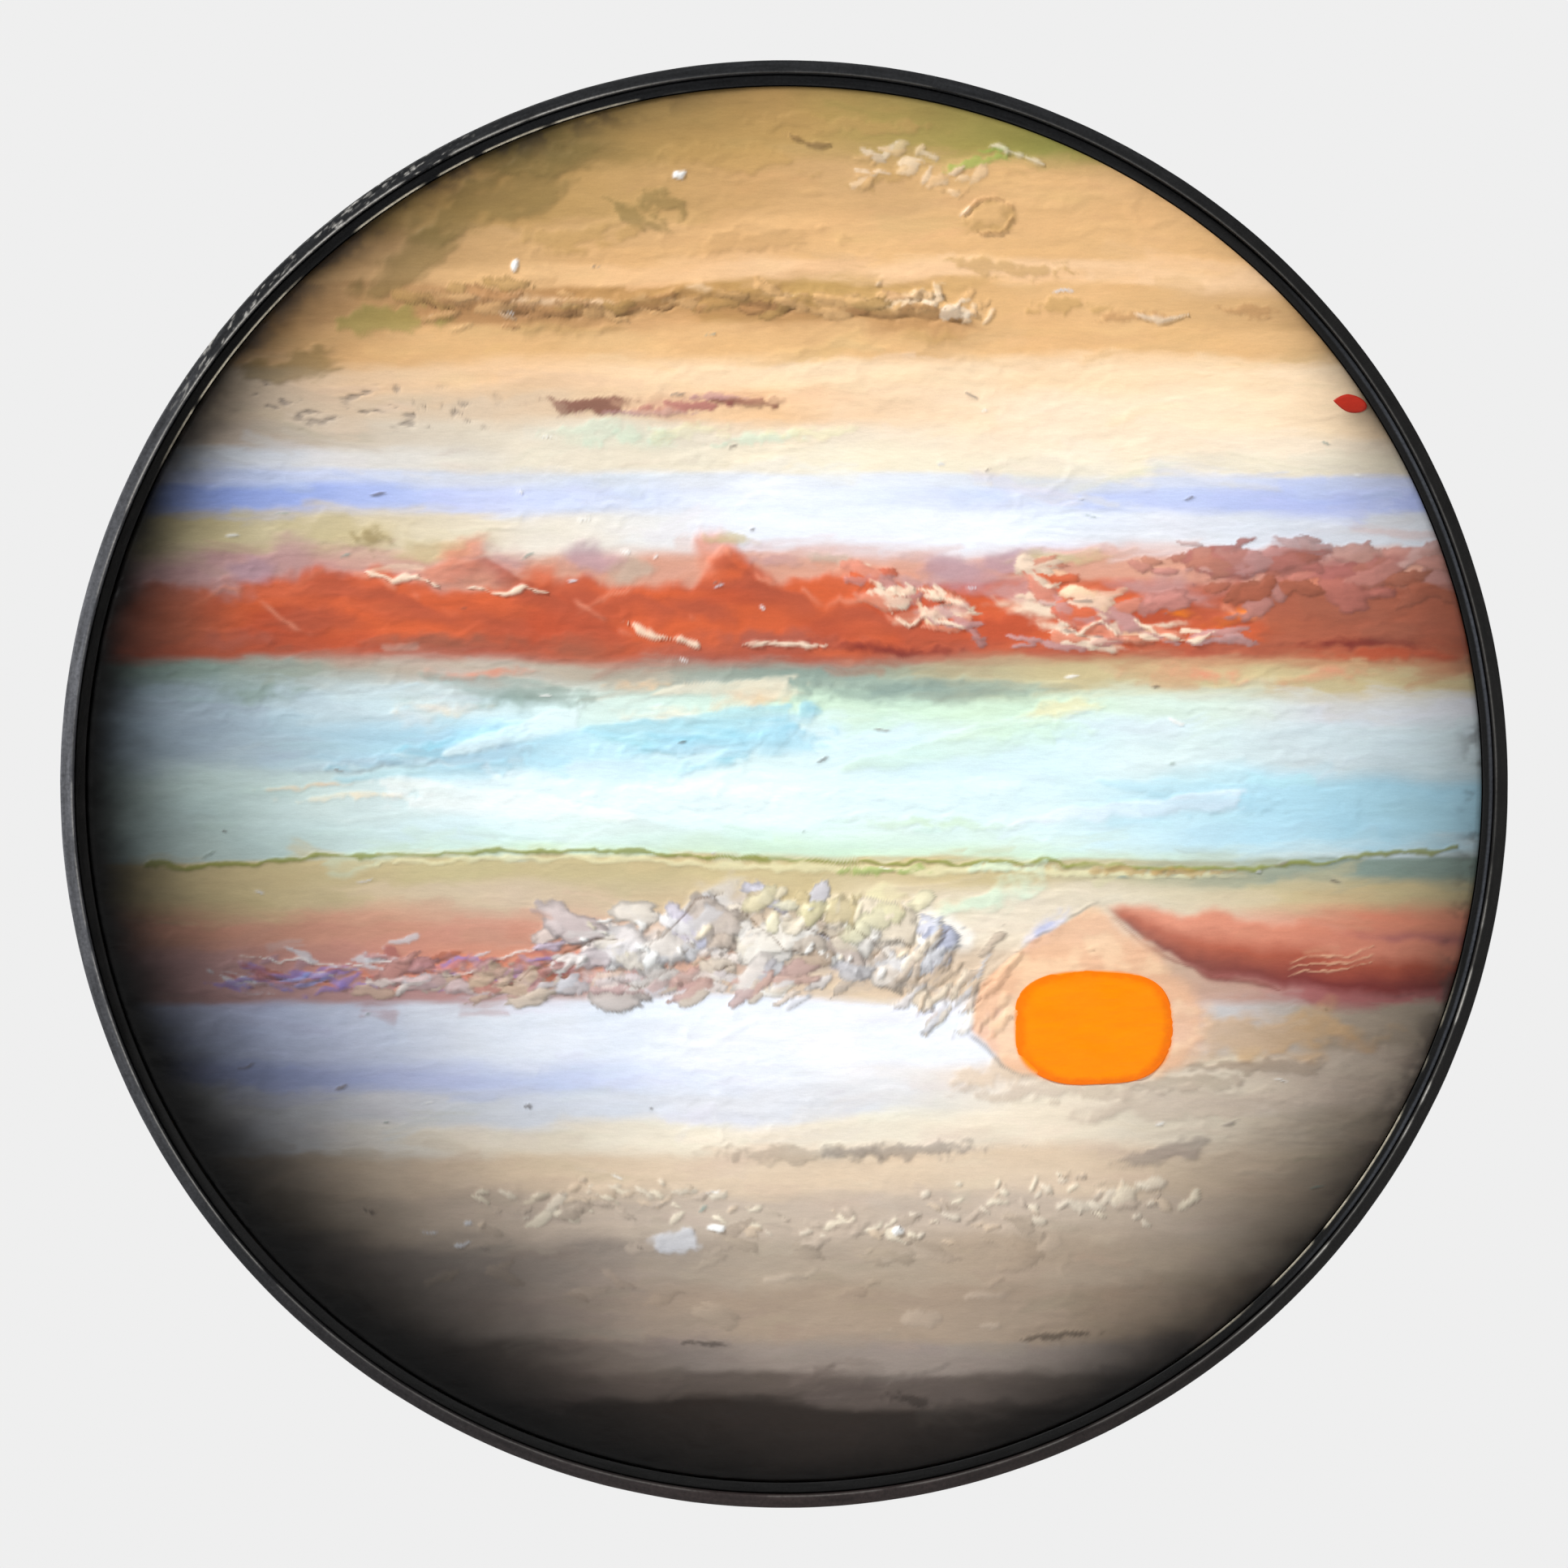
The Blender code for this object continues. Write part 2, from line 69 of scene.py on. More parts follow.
PALETTE = {
    "black": "#0B0B0B",
    "umber": "#2E2723",
    "brown_grey": "#5E544E",
    "mauve_grey": "#8E837B",
    "taupe": "#AC9C8A",
    "light_taupe": "#C4B3A2",
    "sand": "#DCC6AC",
    "beige": "#EADFCB",
    "pale_grey": "#DADDE4",
    "white_blue": "#EEF4FE",
    "lavender": "#CBD4F3",
    "blue": "#9CB0EE",
    "violet": "#9A86C8",
    "periwinkle": "#B4C0EE",
    "olive": "#8C7748",
    "olive_green": "#98944E",
    "green": "#8FB350",
    "ochre": "#C09A60",
    "tan": "#D0A673",
    "peach_tan": "#E6B983",
    "peach": "#F4CB9E",
    "light_peach": "#FBDDB8",
    "pale_peach": "#FAE6CC",
    "cream": "#F6EBD2",
    "yellow_cream": "#EDE9BE",
    "ridge_brown": "#B98A5C",
    # dark brown for painted shade in grooves and creases
    "crevice_shade": "#6B4F34",
    "maroon": "#7E4A42",
    "rose": "#B06C6A",
    "dusty_rose": "#C39A98",
    "mauve": "#B795A0",
    "khaki": "#CDBD92",
    "vermilion": "#BE5538",
    "orange_red": "#D6643C",
    "brick": "#B5583F",
    "brick_brown": "#A4614C",
    "dark_red": "#B0614F",
    "dusty_salmon": "#D8A08A",
    "warm_grey": "#A08E7C",
    "mist": "#D3E3E8",
    "pale_teal": "#BDD2D0",
    "salmon": "#E08F74",
    "deep_maroon": "#7F322E",
    "teal_grey": "#8FA39A",
    "ice": "#DDF3F6",
    "pale_ice": "#E8FAFD",
    "turquoise": "#9AD3E6",
    "sky": "#B4E0F2",
    "mint": "#D6EED6",
    "blue_grey": "#A9BBC8",
    "moss_line": "#8E9448",
    "spot_orange": "#FF8C00",
    "halo_peach": "#EDBC98",
    "signal_red": "#A92A1A",
    "white": "#FBFAF6",
    "charcoal": "#1F2022",
    # the lit grey of the hoop's face at the left: painted light
    "lit_charcoal": "#58595D",
    "brown_charcoal": "#2A2221",
    "frame_black": "#0D0C0B",
    "rubbed_and_lit_edge": "#C6C3BD",
    "highlight_charcoal": "#494C52",
}


def linear(name):
    """A palette colour as linear red, green and blue."""
    value = PALETTE[name].lstrip("#")
    srgb = np.array([int(value[i : i + 2], 16) / 255 for i in (0, 2, 4)])
    return np.where(srgb <= 0.04045, srgb / 12.92, ((srgb + 0.055) / 1.055) ** 2.4)


def smooth(low, high, value):
    """A step from 0 to 1 with soft ends."""
    t = np.clip((value - low) / (high - low), 0.0, 1.0)
    return t * t * (3 - 2 * t)


def noise(x, z, size, seed, stretch=1.0):
    """Smooth noise from 0 to 1, its blobs about size tall and stretch times as wide."""
    lattice = np.random.default_rng(seed).random((128, 128)).astype(np.float32)
    u, v = x / (size * stretch) + 64.3, z / size + 64.7
    column, row = np.floor(u).astype(np.int32), np.floor(v).astype(np.int32)
    s, t = u - column, v - row
    s, t = s * s * (3 - 2 * s), t * t * (3 - 2 * t)
    left, right, low, high = column % 128, (column + 1) % 128, row % 128, (row + 1) % 128
    bottom = lattice[low, left] * (1 - s) + lattice[low, right] * s
    top = lattice[high, left] * (1 - s) + lattice[high, right] * s
    return bottom * (1 - t) + top * t


def layered_noise(x, z, size, seed, stretch=1.0, octaves=4):
    total, weight, amount = 0.0, 0.0, 1.0
    for octave in range(octaves):
        total = total + amount * noise(x, z, size / 2**octave, seed + 17 * octave, stretch)
        weight += amount
        amount *= 0.55
    return total / weight


def wobble(x, z, size, seed, stretch=1.0, octaves=4):
    """Layered noise spread from about -1 to 1."""
    return (layered_noise(x, z, size, seed, stretch, octaves) - 0.5) * 3.2


class Canvas:
    """Colour and thickness of the paint on a square grid, in mm.

    Shapes are drawn in bent_x and bent_z, which sway a few millimetres about x and z, so that nothing
    painted is quite straight or round.
    """

    def __init__(self):
        side = np.linspace(-PANEL_MM, PANEL_MM, CANVAS_CELLS, dtype=np.float32)
        x, z = np.meshgrid(side, side)
        self.x, self.z = x, z
        self.bent_x = x + 2.4 * wobble(x, z, 34, 1, 1.6, 3) + 1.3 * wobble(x, z, 7, 2, 1.4, 3)
        self.bent_z = z + 2.0 * wobble(x, z, 34, 3, 1.8, 3) + 1.3 * wobble(x, z, 7, 4, 1.4, 3)
        self.colour = np.zeros((CANVAS_CELLS, CANVAS_CELLS, 3), np.float32)
        self.height = np.zeros((CANVAS_CELLS, CANVAS_CELLS), np.float32)

    def window(self, x, z, reach):
        """The slice of the grid within reach of a point."""
        column, row = (x + PANEL_MM) / CELL_MM, (z + PANEL_MM) / CELL_MM
        cells = (reach + 4) / CELL_MM
        c0, c1 = int(max(0, column - cells)), int(max(0, min(CANVAS_CELLS, column + cells)))
        r0, r1 = int(max(0, row - cells)), int(max(0, min(CANVAS_CELLS, row + cells)))
        return slice(r0, r1), slice(c0, c1)

    def colour_at(self, x, z):
        column = int(np.clip((x + PANEL_MM) / CELL_MM, 0, CANVAS_CELLS - 1))
        row = int(np.clip((z + PANEL_MM) / CELL_MM, 0, CANVAS_CELLS - 1))
        return self.colour[row, column]

    def glaze(self, colour, mask, where=(slice(None), slice(None))):
        """Lays a colour over the canvas with a mask from 0 to 1."""
        colour = linear(colour) if isinstance(colour, str) else colour
        part = self.colour[where]
        part += (colour - part) * mask[..., None]


def read_field(field, x_mm, z_mm):
    """A canvas field at any points, read between its cells."""
    last = CANVAS_CELLS - 1.001
    column = np.clip((x_mm + PANEL_MM) / CELL_MM, 0, last)
    row = np.clip((z_mm + PANEL_MM) / CELL_MM, 0, last)
    c, r = column.astype(int), row.astype(int)
    s, t = column - c, row - r
    if field.ndim == 3:
        s, t = s[..., None], t[..., None]
    low = field[r, c] * (1 - s) + field[r, c + 1] * s
    high = field[r + 1, c] * (1 - s) + field[r + 1, c + 1] * s
    return low * (1 - t) + high * t


# Bands from the top down. Each row: the top edge's height at the left, middle and right, how soft that edge
# is, how much it wanders, and the colours from the left limb to the right limb
BANDS = (
    ((320, 320, 320), 8, 3, ("olive", "olive", "ochre", "olive_green", "ochre")),
    ((262, 272, 262), 14, 5, ("olive", "ochre", "tan", "peach_tan", "peach_tan")),
    ((238, 243, 240), 12, 5, ("tan", "tan", "peach_tan", "peach_tan", "peach_tan")),
    ((222, 225, 226), 5, 3, ("peach_tan", "peach_tan", "peach", "peach", "peach")),
    ((213, 216, 212), 3, 4, ("tan", "ridge_brown", "ochre", "peach_tan", "tan")),
    ((197, 199, 196), 4, 3, ("tan", "peach_tan", "peach_tan", "peach_tan", "peach_tan")),
    ((182, 183, 182), 9, 3, ("sand", "peach", "light_peach", "light_peach", "light_peach")),
    ((168, 170, 170), 10, 3, ("sand", "sand", "peach", "pale_peach", "light_peach")),
    ((156, 155, 150), 10, 4, ("light_taupe", "beige", "beige", "pale_peach", "pale_peach")),
    ((144, 146, 140), 7, 3, ("pale_grey", "beige", "cream", "cream", "beige")),
    ((135, 134, 132), 4, 1.5, ("lavender", "pale_grey", "white_blue", "pale_grey", "lavender")),
    ((129, 127, 127), 5, 1.5, ("blue", "lavender", "white_blue", "lavender", "periwinkle")),
    ((116, 118, 117), 6, 2, ("khaki", "beige", "white_blue", "white_blue", "pale_grey")),
    ((98, 99, 100), 10, 4, ("dusty_rose", "dusty_salmon", "dusty_salmon", "dusty_salmon", "dusty_salmon")),
    ((78, 85, 84), 5, 4, ("brick", "vermilion", "vermilion", "orange_red", "brick_brown")),
    ((61, 62, 63), 8, 3, ("brick", "dark_red", "dark_red", "dark_red", "brick")),
    ((53, 52, 51), 8, 3, ("teal_grey", "light_taupe", "teal_grey", "khaki", "khaki")),
    ((42, 40, 37), 12, 4, ("blue_grey", "ice", "mint", "mint", "pale_grey")),
    ((28, 26, 26), 9, 4, ("blue_grey", "sky", "ice", "ice", "mist")),
    ((6, 4, 4), 12, 4, ("pale_teal", "pale_ice", "pale_ice", "ice", "sky")),
    ((-16, -18, -16), 9, 3, ("pale_teal", "ice", "mint", "ice", "sky")),
    ((-26, -25, -26), 5, 2, ("pale_teal", "mint", "mint", "mint", "mist")),
    ((-34, -29, -33), 2.5, 1.2, ("khaki", "khaki", "khaki", "khaki", "teal_grey")),
    ((-42, -42, -42), 9, 3, ("khaki", "sand", "khaki", "beige", "khaki")),
    ((-54, -55, -52), 14, 3, ("dusty_salmon", "dusty_salmon", "beige", "beige", "salmon")),
    ((-70, -70, -66), 10, 3, ("dusty_rose", "salmon", "light_taupe", "sand", "rose")),
    ((-84, -83, -78), 6, 3, ("dusty_rose", "dusty_rose", "sand", "sand", "rose")),
    ((-93, -92, -95), 6, 2, ("lavender", "white_blue", "white_blue", "white_blue", "taupe")),
    ((-118, -122, -110), 10, 3, ("periwinkle", "lavender", "white_blue", "sand", "light_taupe")),
    ((-130, -132, -124), 8, 3, ("pale_grey", "pale_grey", "pale_grey", "beige", "light_taupe")),
    ((-144, -146, -142), 7, 3, ("pale_grey", "beige", "beige", "beige", "taupe")),
    ((-160, -158, -158), 7, 3, ("light_taupe", "sand", "sand", "sand", "taupe")),
    ((-176, -178, -176), 8, 4, ("taupe", "light_taupe", "light_taupe", "light_taupe", "taupe")),
    ((-194, -196, -194), 10, 4, ("mauve_grey", "mauve_grey", "taupe", "taupe", "taupe")),
    ((-212, -214, -212), 9, 4, ("mauve_grey", "mauve_grey", "warm_grey", "warm_grey", "warm_grey")),
    ((-238, -240, -238), 8, 4, ("brown_grey", "brown_grey", "mauve_grey", "mauve_grey", "brown_grey")),
    ((-251, -253, -251), 6, 4, ("umber", "brown_grey", "brown_grey", "brown_grey", "umber")),
    ((-265, -267, -264), 7, 3, ("umber", "umber", "umber", "umber", "umber")),
)
BAND_EDGE_AT = (-250, 0, 250)
BAND_COLOUR_AT = (-235, -120, 0, 120, 235)


def paint_bands(canvas):
    """Fills the canvas with the bands, their edges drifting, wandering and feathered by noise."""
    middles = np.array([edges[1] for edges, _, _, _ in BANDS][::-1], float)
    left_lean = np.array([edges[0] - edges[1] for edges, _, _, _ in BANDS][::-1], float)
    right_lean = np.array([edges[2] - edges[1] for edges, _, _, _ in BANDS][::-1], float)
    wander = np.array([amount for _, _, amount, _ in BANDS][::-1], float)
    x, z = canvas.x, canvas.z
    lean = np.interp(z, middles, left_lean) * np.interp(x, BAND_EDGE_AT, (1, 0, 0))
    lean += np.interp(z, middles, right_lean) * np.interp(x, BAND_EDGE_AT, (0, 0, 1))
    sway = 2.2 * wobble(x, z, 60, 5, 3.0, 3) + np.interp(z, middles, wander) * wobble(x, z, 15, 6, 3.5, 4)
    level = z - lean - sway + 0.5 * wobble(x, z, 1.6, 7, 9.0, 2)
    across = x + 18 * wobble(x, z, 26, 8, 2.0, 3)
    heights = np.arange(-PANEL_MM - 30, PANEL_MM + 30, 0.4)
    for column in range(len(BAND_COLOUR_AT)):
        profile = np.zeros((len(heights), 3))
        for edges, softness, _, colours in BANDS:
            mask = smooth(-softness / 2, softness / 2, edges[1] - heights)[:, None]
            profile += (linear(colours[column]) - profile) * mask
        weight = np.interp(across, BAND_COLOUR_AT, np.eye(len(BAND_COLOUR_AT))[column])
        for channel in range(3):
            canvas.colour[..., channel] += weight * np.interp(level, heights, profile[:, channel])


def dab(canvas, colour, x, z, width, tall, turn=0.0, strength=0.9, rough=0.25, soft=0.35, rise=0.0, seed=0):
    """A patch of paint with a ragged edge: an ellipse of the given size in mm, turned by turn degrees."""
    where = canvas.window(x, z, max(width, tall) * 0.8)
    angle = math.radians(turn)
    dx, dz = canvas.bent_x[where] - x, canvas.bent_z[where] - z
    along = dx * math.cos(angle) + dz * math.sin(angle)
    across = dz * math.cos(angle) - dx * math.sin(angle)
    reach = np.sqrt((2 * along / width) ** 2 + (2 * across / tall) ** 2)
    grain = max(2.0, 0.35 * tall)
    reach = reach + rough * wobble(along, across, grain, 500 + seed, 1.8, 3)
    canvas.glaze(colour, strength * smooth(0.0, soft, 1.0 - reach), where)
    canvas.height[where] += rise * smooth(0.0, 0.5, 1.0 - reach)


def dabs(canvas, table, strength, rough, soft, rise, seed):
    for number, (colour, x, z, width, tall, turn) in enumerate(table):
        dab(canvas, colour, x, z, width, tall, turn, strength, rough, soft, rise, seed + number)


def lump(canvas, tops, colour, x, z, width, tall, turn, rise, own, crease, seed):
    """One rounded lump of paint, which shows where it stands above the lumps before it.

    It is paler at its upper left, a painted highlight where the light falls. Its foot is darker by crease,
    painted shade, so that heaped lumps show shaded creases between them, and its own colour is mixed with
    what it lies on.
    """
    where = canvas.window(x, z, max(width, tall) * 0.75)
    angle = math.radians(turn)
    dx, dz = canvas.bent_x[where] - x, canvas.bent_z[where] - z
    along = dx * math.cos(angle) + dz * math.sin(angle)
    across = dz * math.cos(angle) - dx * math.sin(angle)
    reach = np.sqrt((2 * along / width) ** 2 + (2 * across / tall) ** 2)
    reach = reach + 0.4 * wobble(along, across, 0.35 * tall + 1.0, 500 + seed, 1.5, 3)
    dome = rise * np.sqrt(np.clip(1 - reach**2, 0, 1))
    above = smooth(0.0, 0.12, dome - tops[where]) * smooth(1.0, 0.9, reach)
    # painted light and shade: lit makes the upper left paler, and crease darkens the foot as painted shade
    lit = np.clip((dz - dx) / (width + tall), -0.5, 0.5)
    tone = 1 - crease + 0.92 * crease * smooth(0.0, 0.42, 1 - reach) + 0.34 * lit
    mixed = canvas.colour_at(x, z) * (1 - own) + linear(colour) * own
    canvas.glaze(mixed * tone[..., None], 0.92 * above, where)
    tops[where] = np.maximum(tops[where], dome)


def heap(canvas, seed, count, colours, middle, spread, sizes, flatness, turns, rise, own=0.85, crease=0.48):
    """Many lumps scattered along a line.

    middle holds the line's two ends in x, and a function that gives its height for a share of the way along.
    crease sets how dark the painted shade at the foot of each lump is.
    """
    random = np.random.default_rng(seed)
    tops = np.zeros_like(canvas.height)
    (x_from, x_to), height_at = middle
    for number in range(count):
        share = random.random()
        x, z = x_from + (x_to - x_from) * share, random.normal(height_at(share), spread)
        colour = colours[random.integers(len(colours))]
        width, turn = random.uniform(*sizes), random.uniform(*turns)
        tall = width * random.uniform(*flatness)
        top = rise * random.uniform(0.6, 1.0)
        lump(canvas, tops, colour, x, z, width, tall, turn, top, own, crease, number)
    canvas.height += tops


def wave_line(canvas, colour, points, width, strength=0.9, rise=0.0, rough=0.5, seed=0, taper=True):
    """A thin brushed line through (x, z) points, broken by noise and thinner towards its ends."""
    points = np.array(points, float)
    low, high = points[:, 0].min(), points[:, 0].max()
    first = max(0, int((low + PANEL_MM) / CELL_MM) - 2)
    last = min(CANVAS_CELLS, int((high + PANEL_MM) / CELL_MM) + 3)
    where = (slice(None), slice(first, last))
    x, z = canvas.x[where], canvas.bent_z[where]
    middle = np.interp(x, points[:, 0], points[:, 1]) + 0.9 * wobble(x, z * 0, 9, 700 + seed, 1.0, 4)
    share = np.clip((x - low) / (high - low), 0, 1)
    thick = width * ((4 * share * (1 - share)) ** 0.4 if taper else 1.0)
    thick = thick * (1 + rough * wobble(x, z * 0, 6, 720 + seed, 1.0, 3))
    mask = smooth(0.0, 0.7, 1 - np.abs(z - middle) / np.maximum(thick, 0.05))
    mask = mask * ((x >= low) & (x <= high))
    canvas.glaze(colour, strength * mask, where)
    canvas.height[where] += rise * mask


def knife_strokes(canvas, count, lengths, widths, seed):
    """Short flat strokes, mostly along the bands, each in the colour under it, a little lighter or darker."""
    random = np.random.default_rng(seed)
    for _ in range(count):
        angle, radius = random.uniform(0, 2 * math.pi), PANEL_MM * math.sqrt(random.random())
        x, z = radius * math.cos(angle), radius * math.sin(angle)
        length, width = random.uniform(*lengths), random.uniform(*widths)
        turn = math.radians(random.normal(0, 8))
        shade, tint = 1 + random.normal(0, 0.035), 1 + random.normal(0, 0.018, 3)
        strength, ridge = random.uniform(0.2, 0.55), random.uniform(0.02, 0.14)
        phase = random.uniform(0, 400)
        lift = random.normal(0, 2.2)
        where = canvas.window(x, z, length * 0.55)
        dx, dz = canvas.bent_x[where] - x, canvas.bent_z[where] - z
        along = dx * math.cos(turn) + dz * math.sin(turn)
        across = dz * math.cos(turn) - dx * math.sin(turn)
        streak = noise(along, across + phase, 1.1, seed + 5, 14.0)
        ends = 1 - np.abs(2 * along / length) ** 3 + 0.5 * (streak - 0.5)
        sides = 1 - np.abs(2 * across / width)
        mask = smooth(0.0, 0.5, ends) * smooth(0.0, 0.6, sides)
        colour = canvas.colour_at(x, z + lift) * shade * tint
        canvas.glaze(colour, strength * mask * (0.45 + 0.55 * smooth(0.25, 0.6, streak)), where)
        edge = np.exp(-((across - width * 0.36) ** 2) / 1.3)
        canvas.height[where] += ridge * mask * (0.3 * streak + edge)


def upper_ridge(canvas):
    """The brown ridge across the upper part: a rough crest with a pale painted highlight along its top, and a
    sunken groove under it painted dark as shade.
    """
    x, z = canvas.x, canvas.bent_z
    crest = np.interp(x, (-170, -140, -90, -30, 0, 50, 80), (214, 211, 207, 213, 208, 206, 203))
    crest = crest + 2.2 * wobble(x, z * 0, 10, 201, 1.0, 4)
    fade = smooth(-175, -140, x) * smooth(92, 70, x)
    below = smooth(0, 5.5, crest - z) * smooth(17, 6, crest - z)
    canvas.glaze("ridge_brown", 0.75 * below * fade)
    # a sunken groove under the crest, painted dark: painted shade
    shaded_crack = np.exp(-((z - crest + 5.5) ** 2) / 1.1) * smooth(0.34, 0.55, noise(x, z, 9, 202, 2.0))
    canvas.glaze("crevice_shade", 0.7 * shaded_crack * fade)
    # a pale line along the top of the crest: painted highlight
    light = np.exp(-((z - crest - 0.8) ** 2) / 1.2) * smooth(0.4, 0.6, noise(x, z, 7, 203, 1.6))
    canvas.glaze("light_peach", 0.6 * light * fade)
    canvas.height += fade * (1.1 * np.exp(-((z - crest) ** 2) / 7) - 0.9 * shaded_crack)
    second = crest - 12 + 1.5 * wobble(x, z * 0, 8, 204, 1.0, 3)
    under = np.exp(-((z - second) ** 2) / 5) * smooth(0.35, 0.6, noise(x, z, 12, 205, 2.0)) * fade
    canvas.glaze("ochre", 0.5 * under)
    canvas.height += 0.5 * under


# Touches of paint, each as colour, x, z, width, height, turn
RIDGE_LUMPS = (
    ("pale_peach", 62, 208, 9, 6, 0),
    ("pale_peach", 70, 204, 8, 5, 30),
    ("pale_peach", 56, 211, 6, 4, 60),
    ("pale_peach", 80, 203, 6, 4, 90),
    ("pale_peach", 66, 212, 5, 4, 120),
)
MAROON_STREAK = (
    ("maroon", -82, 163, 46, 8.5, -1),
    ("rose", -42, 161, 44, 6, 2),
    ("maroon", -16, 164, 38, 6.5, 0),
    ("dusty_rose", -30, 166, 30, 3, 3),
    ("dusty_rose", -60, 158.5, 50, 2.5, -1),
)
PALE_UNDER_STREAK = (
    ("mint", -68, 149, 40, 7, 3),
    ("yellow_cream", -40, 150, 40, 7, 3),
    ("mint", -10, 147, 40, 7, 3),
    ("yellow_cream", 12, 150, 40, 7, 3),
    ("mint", -84, 152, 40, 7, 3),
)
BELT_TOPS = (
    ("dusty_rose", -212, 98, 30, 24, 20),
    ("mauve", -228, 92, 24, 16, 0),
    ("dusty_rose", -238, 84, 30, 14, -8),
    ("khaki", -190, 108, 70, 17, -3),
    ("khaki", -150, 100, 46, 14, 4),
    ("salmon", -136, 98, 30, 22, 35),
    ("dusty_rose", -122, 96, 30, 20, 15),
    ("salmon", -146, 90, 34, 12, 5),
    ("orange_red", -108, 88, 26, 16, 30),
    ("mauve", -86, 98, 36, 16, -8),
    ("light_taupe", -66, 92, 26, 14, 0),
    ("salmon", -30, 98, 24, 22, -30),
    ("khaki", -22, 105, 28, 8, 0),
    ("orange_red", -24, 92, 20, 20, -25),
    ("dusty_rose", -4, 96, 26, 10, 10),
    ("light_taupe", 20, 98, 24, 7, -5),
    ("salmon", 40, 90, 44, 12, -8),
    ("mauve", 74, 90, 48, 22, -14),
    ("dusty_rose", 60, 84, 36, 12, -20),
    ("mauve", 96, 96, 40, 16, 6),
    ("dusty_rose", 100, 82, 42, 14, -6),
    ("khaki", 116, 98, 50, 10, 0),
    ("cream", 110, 74, 40, 12, -6),
    ("salmon", 132, 76, 30, 24, 20),
    ("dusty_rose", 160, 84, 54, 16, -5),
    ("rose", 196, 92, 50, 18, 4),
    ("brick_brown", 212, 98, 34, 14, 10),
    ("rose", 240, 94, 44, 14, -4),
    ("salmon", 232, 84, 60, 8, -6),
    ("brick_brown", 240, 76, 60, 18, 0),
    ("brick_brown", 262, 64, 40, 14, 0),
    ("orange_red", 186, 68, 50, 16, -4),
    ("spot_orange", 192, 72, 24, 9, 8),
    ("spot_orange", 172, 74, 18, 7, -10),
    ("cream", 154, 67, 38, 3.5, 8),
    ("cream", 128, 62, 44, 7, -16),
    ("vermilion", 258, 55, 60, 7, 2),
)
# Crest lines of hills in the red belt, as (x, z) points: painted shade below each, a painted highlight on it
BELT_HILLS = (
    ((-262, 70), (-240, 84), (-226, 80), (-212, 68), (-196, 62)),
    ((-226, 72), (-206, 88), (-190, 95), (-172, 86), (-150, 76), (-132, 66)),
    ((-160, 74), (-142, 92), (-128, 98), (-112, 88), (-92, 80), (-72, 68), (-52, 62)),
    ((-100, 66), (-80, 80), (-62, 84), (-44, 74), (-30, 64)),
    ((-52, 76), (-38, 92), (-26, 99), (-10, 88), (8, 82), (26, 70)),
    ((6, 68), (24, 80), (40, 74), (58, 64)),
    ((150, 70), (170, 80), (190, 76), (214, 66)),
)
# Darker reds, mostly painted shade on the belt's hill sides, and orange red as painted highlight on their
# tops
BELT_SHADE_AND_HIGHLIGHT = (
    ("brick", -205, 70, 70, 18, 4),
    ("dark_red", -236, 62, 50, 12, 0),
    ("brick", -128, 68, 60, 20, -14),
    ("brick_brown", -150, 60, 80, 10, 0),
    ("brick", -88, 76, 34, 22, -35),
    ("brick_brown", -92, 60, 60, 14, 0),
    ("brick", -36, 74, 60, 14, -12),
    ("dark_red", 0, 62, 80, 12, 0),
    ("brick", 56, 66, 60, 14, -14),
    ("deep_maroon", 40, 59, 90, 7, -4),
    ("orange_red", -170, 84, 40, 10, -18),
    ("orange_red", -62, 82, 36, 12, 14),
    ("orange_red", 12, 84, 44, 14, -6),
    ("deep_maroon", 250, 60, 70, 8, 0),
)
BELT_RIPPLES = (
    ((36, 88), (44, 84), (52, 80), (58, 76), (66, 72)),
    ((44, 78), (48, 72), (54, 68), (60, 73), (68, 70), (78, 66)),
    ((52, 86), (62, 82), (72, 78), (84, 72)),
    ((118, 70), (126, 64), (136, 68), (148, 62)),
    ((150, 70), (162, 64), (176, 62), (186, 66)),
    ((-136, 84), (-124, 80), (-112, 84), (-100, 82)),
    ((-70, 72), (-58, 66), (-46, 62), (-36, 60)),
    ((-18, 60), (-4, 61), (10, 60), (20, 61)),
    ((-180, 92), (-168, 86), (-158, 88), (-148, 84)),
)
UNDER_BELT = (
    ("teal_grey", -230, 38, 60, 14, 0),
    ("teal_grey", -120, 36, 90, 12, 4),
    ("salmon", -130, 46, 60, 7, 4),
    ("peach", -10, 38, 44, 12, 8),
    ("peach", -60, 44, 40, 6, 0),
    ("teal_grey", 60, 40, 110, 14, -2),
    ("khaki", 128, 42, 60, 10, 2),
    ("salmon", 176, 46, 70, 8, -3),
    ("salmon", 232, 46, 60, 7, 4),
    ("beige", -150, 30, 50, 8, 4),
    ("cream", -50, 30, 60, 9, -3),
)
ICE_STREAKS = (
    ("turquoise", -150, 14, 84, 9, 9),
    ("turquoise", -176, 8, 60, 5, 3),
    ("sky", -128, 20, 40, 10, 20),
    ("turquoise", -40, 18, 92, 10, 9),
    ("turquoise", -22, 12, 50, 12, 25),
    ("turquoise", -62, 16, 50, 6, -8),
    ("sky", 0, 22, 40, 14, 40),
    ("pale_ice", -118, -2, 90, 14, -3),
    ("pale_ice", -40, -6, 110, 12, 2),
    ("pale_ice", 60, -4, 90, 14, 0),
    ("peach", -206, -2, 44, 3, 6),
    ("cream", -186, -6, 60, 4, 3),
    ("mint", 96, 22, 90, 12, 4),
    ("mint", 60, -16, 90, 8, -3),
    ("yellow_cream", 118, 32, 50, 9, 10),
    ("sky", 180, -8, 80, 12, 2),
)
